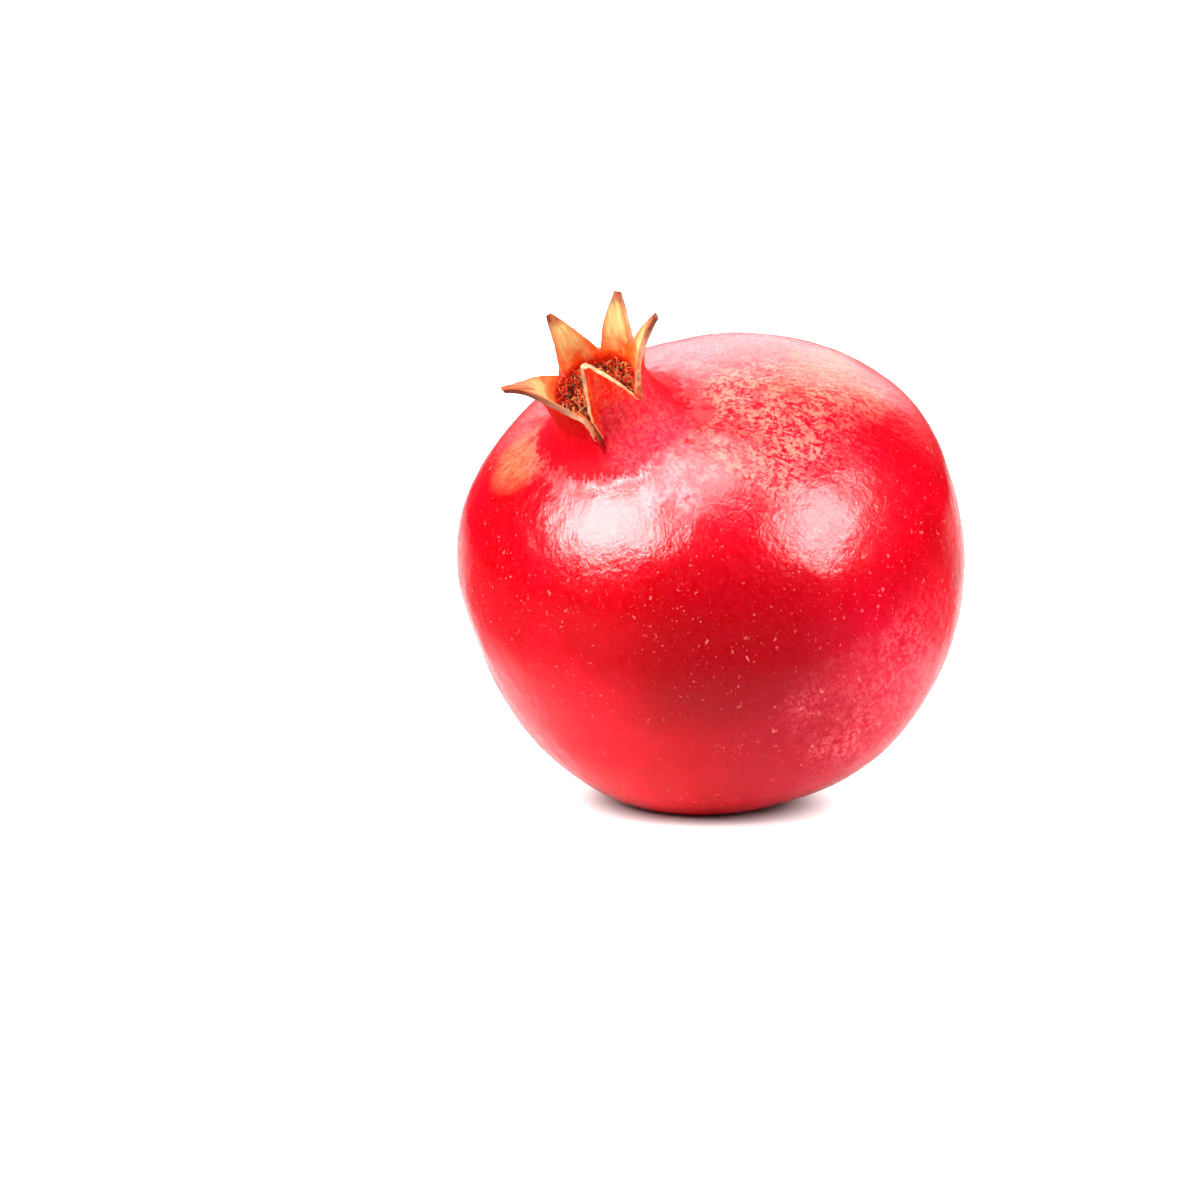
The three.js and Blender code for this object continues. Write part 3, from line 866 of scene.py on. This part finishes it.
# %% Group: blotches
blotches, given, result = make_group(
    "blotches", {"Place": None, "Size": 10.0, "Share": 0.5, "Softness": 0.1}, ["Mask"]
)
scale = maths(blotches, "DIVIDE", 1.0, given.outputs["Size"])
patchy = noise_at(blotches, given.outputs["Place"], scale, 5.0, 0.62)
# Noise keeps to the middle half of its range, so shares from 0 to 1 are edges from 0.75 to 0.25.
edge = maths(blotches, "SUBTRACT", 0.75, times(blotches, given.outputs["Share"], 0.5))
high_edge = plus(blotches, edge, given.outputs["Softness"])
low_edge = maths(blotches, "SUBTRACT", edge, given.outputs["Softness"])
give(blotches, result.inputs["Mask"], between(blotches, patchy, low_edge, high_edge))
print("group", blotches.name)

# %% Group: specks
specks, given, result = make_group(
    "specks", {"Place": None, "Spacing": 2.5, "Size": 0.5, "Share": 0.5, "Bend": 0.8}, ["Mask"]
)
bent = add(specks, "ShaderNodeTexNoise", Vector=given.outputs["Place"], Scale=0.9, Detail=2.0)
bends = scaled(specks, bent.outputs["Color"], given.outputs["Bend"])
place = vector_maths(specks, "ADD", given.outputs["Place"], bends)
scale = maths(specks, "DIVIDE", 1.0, given.outputs["Spacing"])
cells = add(specks, "ShaderNodeTexVoronoi", Vector=place, Scale=scale)
own = add(specks, "ShaderNodeSeparateColor", Color=cells.outputs["Color"])
shown = maths(specks, "LESS_THAN", own.outputs["Red"], given.outputs["Share"])
radius = times(specks, given.outputs["Size"], scale)
radius = times(specks, radius, between(specks, own.outputs["Green"], 0, 1, 0.5, 1.2))
inner_edge = times(specks, radius, 0.45)
dot = between(specks, cells.outputs["Distance"], radius, inner_edge)
give(specks, result.inputs["Mask"], times(specks, dot, shown))
print("group", specks.name)


# %% Helpers for a whole finish
def start_finish(material, attribute):
    """Turns on the material's nodes and returns its tree, its shader and the attribute's vector."""
    material.use_nodes = True
    tree = material.node_tree
    shader = next(n for n in tree.nodes if n.type == "BSDF_PRINCIPLED")
    place = add(tree, "ShaderNodeAttribute", {"attribute_name": attribute}).outputs["Vector"]
    return tree, shader, place


def height_of(tree, place):
    return add(tree, "ShaderNodeSeparateXYZ", Vector=place).outputs["Z"]


def from_axis(tree, place):
    return vector_maths(tree, "LENGTH", vector_maths(tree, "MULTIPLY", place, (1, 1, 0)))


def complete(tree, shader, color, roughness, relief, distance, specular=0.5):
    """Feeds the shader. A relief of 1 stands out by the distance, in millimetres."""
    give(tree, shader.inputs["Base Color"], color)
    give(tree, shader.inputs["Roughness"], roughness)
    shader.inputs["Specular IOR Level"].default_value = specular
    bump = add(tree, "ShaderNodeBump", Height=relief, Distance=distance * MM)
    give(tree, shader.inputs["Normal"], bump.outputs["Normal"])


def facing(tree, place, azimuth, latitude, inside, outside):
    """1 within inside degrees of a direction from the middle of the fruit, 0 past outside."""
    towards = direction(azimuth, latitude)
    cosine = vector_maths(tree, "DOT_PRODUCT", vector_maths(tree, "NORMALIZE", place), towards)
    return between(tree, cosine, math.cos(math.radians(outside)), math.cos(math.radians(inside)))


def zones(tree, place, *rows):
    """The largest of several round zones. A row has the numbers of facing, and a share."""
    whole = 0.0
    for azimuth, latitude, inside, outside, share in rows:
        zone = times(tree, facing(tree, place, azimuth, latitude, inside, outside), share)
        whole = maths(tree, "MAXIMUM", whole, zone)
    return whole


# %% [markdown]
# ## Finish of the rind
# A ripe rind is deep red leather with a waxy gloss. The red is never even: it is deeper in some
# places, mottled pink and orange on the shoulder that the sun reached, yellow in a few patches,
# streaked towards the crown, and dotted with pale corky specks. Two round zones on the front are
# painted a deeper red still, as painted shade, and a small spot at the foot of the neck is kept
# plain red, also as painted shade. The gloss is weak but smooth, so only a bright lamp shows in
# it. A fine grain breaks up what it reflects, and it fades into the dull red collar round the
# neck.

# %% Rind: its reds
SHADE_RED, DEEP_RED, BRIGHT_RED = srgb(148, 0, 2), srgb(188, 0, 4), srgb(224, 0, 26)
CRIMSON = srgb(216, 0, 52)
COLLAR_RED, LOBE_RED = srgb(226, 0, 20), srgb(248, 14, 14)
PINK, ROSE = srgb(236, 38, 76), srgb(248, 122, 122)
PALE, YELLOW = srgb(250, 130, 98), srgb(246, 138, 92)
SPECK = srgb(252, 128, 116)

tree, shader, place = start_finish(rind_finish, "upright")
radius, height = from_axis(tree, place), height_of(tree, place)
meridian = times(tree, maths(tree, "ARCTAN2", height, radius), WIDTH / 2)
broad = use(tree, blotches, Place=place, Size=26.0, Share=0.5, Softness=0.16)
color = mix(tree, broad, DEEP_RED, BRIGHT_RED)
color = mix(tree, zones(tree, place, (66, -14, 4, 40, 0.6)), color, CRIMSON)
# Painted shade: two round zones on the front of the rind are drawn a deeper red.
painted_shade = zones(tree, place, (50, 21, 2, 32, 0.88), (50, -8, 2, 26, 0.55))
color = mix(tree, painted_shade, color, SHADE_RED)

# %% Rind: mottling where it is pale
DRIFT = 26  # how far, in millimetres, the edge of a pale zone may stray from a circle

streaks = use(tree, fibres, Place=place, Height=meridian, Count=54.0, Length=2.4)
mottle = use(tree, blotches, Place=place, Size=1.7, Share=0.55, Softness=0.18)
fine = use(tree, blotches, Place=place, Size=0.75, Share=0.62, Softness=0.2)
broken = times(tree, maths(tree, "MAXIMUM", streaks, mottle), fine)
drift = add(tree, "ShaderNodeTexNoise", Vector=place, Scale=0.09, Detail=1.5).outputs["Color"]
drift = scaled(tree, vector_maths(tree, "SUBTRACT", drift, (0.5, 0.5, 0.5)), DRIFT)
wandering = vector_maths(tree, "ADD", place, drift)
pale_zone = zones(
    tree,
    wandering,
    (112, 53, 10, 27, 0.95),
    (70, 62, 5, 14, 0.8),
    (78, -18, 6, 30, 0.45),
    (165, 42, 14, 36, 0.55),
    (225, 0, 6, 46, 0.5),
)
patchy = use(tree, blotches, Place=place, Size=8.0, Share=0.6, Softness=0.14)
pale_zone = times(tree, pale_zone, between(tree, patchy, 0, 1, 0.35, 1.0))
# The first zone is painted shade: it keeps a small spot at the foot of the neck free of pale
# mottling. The second keeps a patch on the upper front red.
still_red = zones(tree, place, (111, 71, 3, 9, 1.0), (70, 48, 2, 11, 0.9))
pale_zone = times(tree, pale_zone, between(tree, still_red, 0, 1, 1.0, 0.0))
pink_share = times(tree, pale_zone, between(tree, broken, 0.05, 0.5, 0, 0.7))
color = mix(tree, pink_share, color, PINK)
palest = times(tree, pale_zone, between(tree, broken, 0.26, 0.72, 0, 0.9))
warmer = facing(tree, wandering, 120, 52, 12, 34)
color = mix(tree, palest, color, mix(tree, warmer, ROSE, PALE))
color = mix(tree, times(tree, broken, 0.12), color, PINK)

# %% Rind: yellow streaks
by_crown = zones(tree, place, (299, 65, 1, 12, 0.65))
elsewhere = zones(tree, wandering, (142, 36, 0, 15, 0.35), (230, 6, 0, 26, 0.5))
yellow_zone = maths(tree, "MAXIMUM", by_crown, elsewhere)
thin = use(tree, fibres, Place=place, Height=meridian, Count=70.0, Length=2.2)
streaky = maths(tree, "MAXIMUM", streaks, thin)
streaky = times(tree, streaky, between(tree, fine, 0, 1, 0.6, 1))
yellow_share = times(tree, yellow_zone, between(tree, streaky, 0, 0.9, 0.12, 1))
color = mix(tree, yellow_share, color, YELLOW)

# %% Rind: corky specks and the red collar
dots = use(tree, specks, Place=place, Spacing=2.0, Size=0.42, Share=0.35, Bend=2.8)
small_dots = use(tree, specks, Place=place, Spacing=1.2, Size=0.28, Share=0.5, Bend=1.8)
tiny_dots = use(tree, specks, Place=place, Spacing=0.8, Size=0.19, Share=0.6, Bend=1.2)
small_dots = maths(tree, "MAXIMUM", small_dots, times(tree, tiny_dots, 0.5))
dots = maths(tree, "MAXIMUM", dots, times(tree, small_dots, 0.8))
dots_here = between(tree, noise_at(tree, place, 0.11, 4.0, 0.7), 0.42, 0.62, 0.1, 0.9)
crowded = between(tree, noise_at(tree, place, 0.3, 3.0, 0.6), 0.35, 0.6, 0.45, 1)
crowded = times(tree, crowded, facing(tree, place, 86, -4, 16, 44))
dots_here = maths(tree, "MAXIMUM", dots_here, crowded)
off_crown = between(tree, radius, 14.0, 24.0)
dots = times(tree, times(tree, dots, dots_here), off_crown)
color = mix(tree, times(tree, dots, 0.8), color, SPECK)

wavering = between(tree, noise_at(tree, place, 0.3, 3.0), 0.3, 0.7, -2, 2)
collar = between(tree, plus(tree, radius, wavering), COLLAR_RADIUS + 2.0, COLLAR_RADIUS)
collar = times(tree, collar, between(tree, height, 0, POLE - 8))
pinker = zones(tree, place, (70, 75, 2, 16, 0.5))
color = mix(tree, collar, color, mix(tree, pinker, COLLAR_RED, PINK))
# Painted shade: the same small spot at the foot of the neck is painted plain red, over the collar.
color = mix(tree, facing(tree, place, 111, 70, 2, 7), color, BRIGHT_RED)

# %% Rind: gloss and grain
roughness = between(tree, streaks, 0, 1, 0.14, 0.2)
roughness = plus(tree, roughness, times(tree, palest, 0.2))
nearing = between(tree, plus(tree, radius, wavering), COLLAR_RADIUS + 4.0, COLLAR_RADIUS)
roughness = plus(tree, roughness, times(tree, nearing, 0.45))

leather = noise_at(tree, place, 0.45, 2.0, 0.5)
folded = noise_at(tree, vector_maths(tree, "ADD", place, (60, 0, 0)), 1.1, 3.0, 0.6)
peel = noise_at(tree, place, 2.4, 2.0, 0.5)
relief = plus(tree, times(tree, streaks, 0.08), leather)
relief = plus(tree, times(tree, folded, 0.8), relief)
relief = plus(tree, times(tree, peel, 0.3), relief)
complete(tree, shader, color, roughness, relief, distance=0.1, specular=0.13)
print("rind has", len(tree.nodes), "nodes")

# %% [markdown]
# ## Finish of the crown
# Outside, the neck and the lobes are dull red with orange veins. Inside, a lobe is red where it
# meets the cup, then orange, then straw yellow in its middle and pink towards the tip, with
# orange edges, and brown where it has dried. Its rim shows the pale flesh of the rind.

# %% Outside of the crown
LOBE_ORANGE, DRY_BROWN = srgb(250, 92, 34), srgb(128, 58, 38)
CREAM, RIM_ORANGE = srgb(252, 200, 156), srgb(238, 136, 84)


def crown_parts(tree):
    """Share of the way to a lobe's tip, nearness to its edge, and dryness."""
    crown = add(tree, "ShaderNodeAttribute", {"attribute_name": "crown"}).outputs["Vector"]
    parts = add(tree, "ShaderNodeSeparateXYZ", Vector=crown)
    return parts.outputs["X"], parts.outputs["Y"], parts.outputs["Z"]


tree, shader, place = start_finish(crown_finish, "upright")
height = height_of(tree, place)
along, near_edge, dryness = crown_parts(tree)
veins = use(tree, fibres, Place=place, Height=height, Count=11.0, Length=3.0, Waviness=1.2)
mottle = use(tree, blotches, Place=place, Size=1.5, Share=0.5, Softness=0.14)
fine = use(tree, blotches, Place=place, Size=0.7, Share=0.5, Softness=0.14)
pink_here = facing(tree, place, 70, 75, 2, 14)
flecks = times(tree, maths(tree, "MAXIMUM", mottle, veins), fine)
on_lobe = between(tree, along, 0.0, 0.3)
pinker = times(tree, pink_here, 0.6)
color = mix(tree, on_lobe, mix(tree, pinker, COLLAR_RED, PINK), LOBE_RED)
color = mix(tree, times(tree, flecks, between(tree, pink_here, 0, 1, 0.1, 0.7)), color, PINK)
color = mix(tree, times(tree, flecks, between(tree, pink_here, 0, 1, 0.0, 0.35)), color, PALE)
at_edge = between(tree, near_edge, 0.6, 1, 0, 0.5)
orange = plus(tree, between(tree, along, 0.0, 0.9, 0.2, 0.7), at_edge)
orange = times(tree, orange, between(tree, height, POLE + 1, MOUTH_HEIGHT))
veined = between(tree, times(tree, veins, fine), 0, 0.6, 0.25, 1.0)
orange = times(tree, orange, veined)
color = mix(tree, orange, color, LOBE_ORANGE)
dry_spots = use(tree, blotches, Place=place, Size=2.6, Share=0.5, Softness=0.2)
dry = times(tree, dryness, between(tree, dry_spots, 0, 1, 0.6, 1))
color = mix(tree, dry, color, DRY_BROWN)
relief = plus(tree, times(tree, veins, 0.5), noise_at(tree, place, 1.1, 4.0))
complete(tree, shader, color, 0.5, relief, distance=0.1, specular=0.015)
print("crown outside has", len(tree.nodes), "nodes")

# %% Inside of the crown
CUP_SHADE, CUP_RED, ROOT_ORANGE = srgb(96, 20, 10), srgb(232, 34, 14), srgb(252, 96, 22)
STRAW, TIP_PINK, TOASTED = srgb(255, 240, 158), srgb(240, 140, 98), srgb(212, 104, 52)

tree, shader, place = start_finish(inner_finish, "upright")
along, near_edge, dryness = crown_parts(tree)
height = height_of(tree, place)
veins = use(tree, fibres, Place=place, Height=height, Count=14.0, Length=4.0, Waviness=0.9)
patches = use(tree, blotches, Place=place, Size=3.0, Share=0.5, Softness=0.2)
shifted = plus(tree, along, between(tree, patches, 0, 1, -0.08, 0.08))
# Painted shade: the wall of the cup turns dark brown-red towards its floor, deep in the crown.
color = mix(tree, between(tree, height, MOUTH_HEIGHT - 6, MOUTH_HEIGHT - 2), CUP_SHADE, CUP_RED)
color = mix(tree, between(tree, height, MOUTH_HEIGHT, MOUTH_HEIGHT + 2.5), color, ROOT_ORANGE)
# Painted shade: low in the slit between two lobes, the wall is painted the same dark colour.
slit_shade = times(tree, facing(tree, place, 22, 79, 3, 9), between(tree, along, 0.3, 0.1))
color = mix(tree, slit_shade, color, CUP_SHADE)
color = mix(tree, between(tree, shifted, 0.05, 0.45), color, STRAW)
color = mix(tree, between(tree, shifted, 0.68, 0.95), color, TIP_PINK)
color = mix(tree, zones(tree, place, (321, 70, 6, 14, 0.9)), color, TOASTED)
color = mix(tree, zones(tree, place, (112, 73, 3, 10, 0.7)), color, TIP_PINK)
orange = times(tree, between(tree, near_edge, 0.5, 1.0), 0.75)
color = mix(tree, orange, color, LOBE_ORANGE)
color = mix(tree, times(tree, veins, 0.25), color, ROOT_ORANGE)
dry = times(tree, dryness, between(tree, veins, 0, 1, 0.5, 0.9))
color = mix(tree, dry, color, DRY_BROWN)
relief = plus(tree, veins, noise_at(tree, place, 1.6, 3.0))
complete(tree, shader, color, 0.55, relief, distance=0.12, specular=0.04)
print("crown inside has", len(tree.nodes), "nodes")

# %% Rim of the crown
tree, shader, place = start_finish(rim_finish, "upright")
along, near_edge, dryness = crown_parts(tree)
patches = use(tree, blotches, Place=place, Size=1.8, Share=0.5, Softness=0.2)
color = mix(tree, patches, CREAM, RIM_ORANGE)
browned = use(tree, blotches, Place=place, Size=4.0, Share=0.32, Softness=0.06)
color = mix(tree, between(tree, along, 0.22, 0.0), color, srgb(216, 52, 26))
color = mix(tree, times(tree, browned, 0.6), color, DRY_BROWN)
color = mix(tree, times(tree, dryness, 0.85), color, DRY_BROWN)
relief = noise_at(tree, place, 2.2, 4.0)
complete(tree, shader, color, 0.6, relief, distance=0.12, specular=0.1)
print("rim has", len(tree.nodes), "nodes")

# %% [markdown]
# ## Finish of the stamens and the stalk
# The dried threads are anything from straw to nearly black, so each carries a tone of its own.
# The stalk is grey-brown bark round a paler cut.

# %% Threads and anthers
DARK_BROWN, RUST = srgb(70, 28, 12), srgb(232, 54, 20)

for material, pale in ((thread_finish, srgb(232, 160, 96)), (anther_finish, srgb(206, 142, 70))):
    tree, shader, thread = start_finish(material, "thread")
    thread_parts = add(tree, "ShaderNodeSeparateXYZ", Vector=thread)
    share, tone = thread_parts.outputs["X"], thread_parts.outputs["Y"]
    place = add(tree, "ShaderNodeTexCoord").outputs["Object"]
    in_mm = add(tree, "ShaderNodeMapping", Vector=place, Scale=(1 / MM, 1 / MM, 1 / MM))
    place = in_mm.outputs["Vector"]
    spotty = use(tree, blotches, Place=place, Size=1.4, Share=0.5, Softness=0.2)
    color = mix(tree, between(tree, tone, 0.35, 0.55), RUST, pale)
    color = mix(tree, between(tree, tone, 0.76, 0.88), color, DARK_BROWN)
    color = mix(tree, times(tree, spotty, 0.4), color, DARK_BROWN)
    # Painted shade: each thread turns dark brown towards its root, deep in the cup.
    color = mix(tree, between(tree, share, 0.4, 0.0, 0, 0.75), color, DARK_BROWN)
    relief = noise_at(tree, place, 4.0)
    complete(tree, shader, color, 0.75, relief, distance=0.05, specular=0.05)
print("threads and anthers finished")

# %% Bark and cut wood
BARK_BROWN, BARK_GREY, WOOD, WOOD_RING = (
    srgb(104, 70, 44),
    srgb(150, 126, 100),
    srgb(206, 172, 122),
    srgb(140, 98, 58),
)

tree, shader, place = start_finish(bark_finish, "upright")
height = height_of(tree, place)
furrows = use(tree, fibres, Place=place, Height=height, Count=9.0, Length=1.6, Waviness=0.6)
lichen = use(tree, blotches, Place=place, Size=1.2, Share=0.45, Softness=0.12)
color = mix(tree, furrows, BARK_BROWN, BARK_GREY)
color = mix(tree, times(tree, lichen, 0.4), color, srgb(84, 52, 34))
complete(tree, shader, color, 0.85, furrows, distance=0.15)

tree, shader, place = start_finish(cut_finish, "upright")
radius = from_axis(tree, place)
wobble = times(tree, noise_at(tree, place, 0.8, 2.0), 1.2)
rings = maths(tree, "SINE", times(tree, plus(tree, radius, wobble), 11.0))
rings = between(tree, rings, -0.6, 0.9)
color = mix(tree, rings, WOOD, WOOD_RING)
pith = between(tree, radius, 0.55, 0.35)
color = mix(tree, pith, color, srgb(96, 60, 36))
complete(tree, shader, color, 0.8, rings, distance=0.06)
print("bark and cut wood finished")

# %% [markdown]
# ## Studio
# On a waxy fruit the size and place of each highlight matter as much as the shading, so the two
# have lamps of their own. The "shine" softboxes are seen only by glossy rays: they make the
# bright patches on the rind, and their size sets how large those are. The "light" softboxes are
# seen only by diffuse rays, and give the fruit its form. The floor and the sky are white to the
# camera, but send the rind only as much light as it needs: a pale sweep behind draws the pale
# line along its outline. The floor's colour is a painted pool of light, pale round the fruit and
# far behind it and nearly black elsewhere, which lights the rind from below. To the camera the
# floor glows white, a painted light, except in a small dark spot right under the fruit.


# %% Floor
FLOOR_DARK, FLOOR_PAINTED_LIGHT = (0.02, 0.02, 0.02, 1), (0.6, 0.6, 0.6, 1)
POOL_MIDDLE, POOL_RADIUS, POOL_FADE = (0.02, 0.025, 0), 0.07, 0.06  # of the painted pool of light on the floor, in metres
SHADOW_RADIUS, SHADOW_FADE = 0.014, 0.02  # of the dark spot right under the fruit

floor_bm = bmesh.new()
bmesh.ops.create_circle(floor_bm, cap_ends=True, segments=96, radius=2.5)
floor_mesh = mesh_from(floor_bm, "floor")
floor = bpy.data.objects.new("floor", floor_mesh)
bpy.context.scene.collection.objects.link(floor)
floor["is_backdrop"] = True
floor_finish = bpy.data.materials.new("floor")
floor_mesh.materials.append(floor_finish)
floor_finish.use_nodes = True
tree = floor_finish.node_tree
shader = next(n for n in tree.nodes if n.type == "BSDF_PRINCIPLED")
place = add(tree, "ShaderNodeTexCoord").outputs["Object"]
away = vector_maths(tree, "LENGTH", place)
behind = maths(tree, "DIVIDE", add(tree, "ShaderNodeSeparateXYZ", Vector=place).outputs["Y"], away)
# Painted pool of light: the floor's colour is pale round a point beside the fruit and far behind it,
# and nearly black elsewhere.
off_middle = vector_maths(tree, "LENGTH", vector_maths(tree, "SUBTRACT", place, POOL_MIDDLE))
pool = between(tree, off_middle, POOL_RADIUS + POOL_FADE, POOL_RADIUS)
painted_pool = maths(tree, "MAXIMUM", pool, between(tree, behind, 0.6, 0.85))
give(tree, shader.inputs["Base Color"], mix(tree, painted_pool, FLOOR_DARK, FLOOR_PAINTED_LIGHT))
shader.inputs["Roughness"].default_value = 0.7
shader.inputs["Emission Color"].default_value = (1, 1, 1, 1)
# Painted light: to the camera the floor glows white, except in a small dark spot right under the
# fruit, where its rendered shadow shows.
seen = add(tree, "ShaderNodeLightPath").outputs["Is Camera Ray"]
glow = times(tree, between(tree, away, SHADOW_RADIUS, SHADOW_RADIUS + SHADOW_FADE), seen)
give(tree, shader.inputs["Emission Strength"], glow)
print("floor has", len(tree.nodes), "nodes")


# %% Lights
def add_softbox(name, azimuth, elevation, width, height, power, for_gloss):
    """A softbox 1 m from the fruit, at an azimuth from the front, to the right, and a height."""
    a, b = math.radians(azimuth), math.radians(elevation)
    away = Vector((math.sin(a) * math.cos(b), -math.cos(a) * math.cos(b), math.sin(b)))
    data = bpy.data.lights.new(name, "AREA")
    data.shape, data.size, data.size_y, data.energy = "ELLIPSE", width, height, power
    light = bpy.data.objects.new(name, data)
    light.location = (cad_low + cad_high) / 2 + away
    light.rotation_euler = away.to_track_quat("Z", "Y").to_euler()
    light.visible_camera = False
    light.visible_glossy, light.visible_diffuse = for_gloss, not for_gloss
    bpy.context.scene.collection.objects.link(light)


add_softbox("shine_left", -56, 44, 0.8, 0.64, 94, for_gloss=True)
add_softbox("shine_right", 57, 38, 0.5, 0.46, 30, for_gloss=True)
add_softbox("shine_top", -16, 74, 0.7, 0.5, 28, for_gloss=True)
add_softbox("light_left", -60, 42, 0.8, 0.8, 20, for_gloss=False)
add_softbox("light_right", 62, 38, 0.8, 0.8, 13, for_gloss=False)

# %% Sky
SWEEP_MIDDLE = Vector((0.05, 0.85, 0.52)).normalized()
SWEEP_EDGE, SWEEP_CORE = 0.76, 0.96  # cosines of the angle from the middle of the sweep
SWEEP_LOW, SWEEP_HIGH = 0.4, 7.0  # strength at the horizon and overhead
SKY_MATT, SKY_GLOSS, SKY_SEEN = 0.25, 0.01, 1.05

world = bpy.data.worlds.new("studio")
bpy.context.scene.world = world
world.use_nodes = True
tree = world.node_tree
background = next(n for n in tree.nodes if n.type == "BACKGROUND")
ray = add(tree, "ShaderNodeTexCoord").outputs["Generated"]
upwards = add(tree, "ShaderNodeSeparateXYZ", Vector=ray).outputs["Z"]
backwards = vector_maths(tree, "DOT_PRODUCT", ray, SWEEP_MIDDLE)
sweep = between(tree, backwards, SWEEP_EDGE, SWEEP_CORE)
sweep = times(tree, sweep, between(tree, upwards, 0, 0.8, SWEEP_LOW, SWEEP_HIGH))
rays = add(tree, "ShaderNodeLightPath")
sky = between(tree, rays.outputs["Is Diffuse Ray"], 0, 1, SKY_GLOSS, SKY_MATT)
sky = plus(tree, sky, sweep)
sky = maths(tree, "MAXIMUM", sky, times(tree, rays.outputs["Is Camera Ray"], SKY_SEEN))
give(tree, background.inputs["Strength"], sky)
background.inputs["Color"].default_value = (1, 1, 1, 1)
print("sky has", len(tree.nodes), "nodes")

# %% [markdown]
# ## Size
# The finer skins must not outgrow the imported part, so the box of the shown pieces is measured
# again.

# %% Measure the box of the shown pieces
low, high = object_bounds()
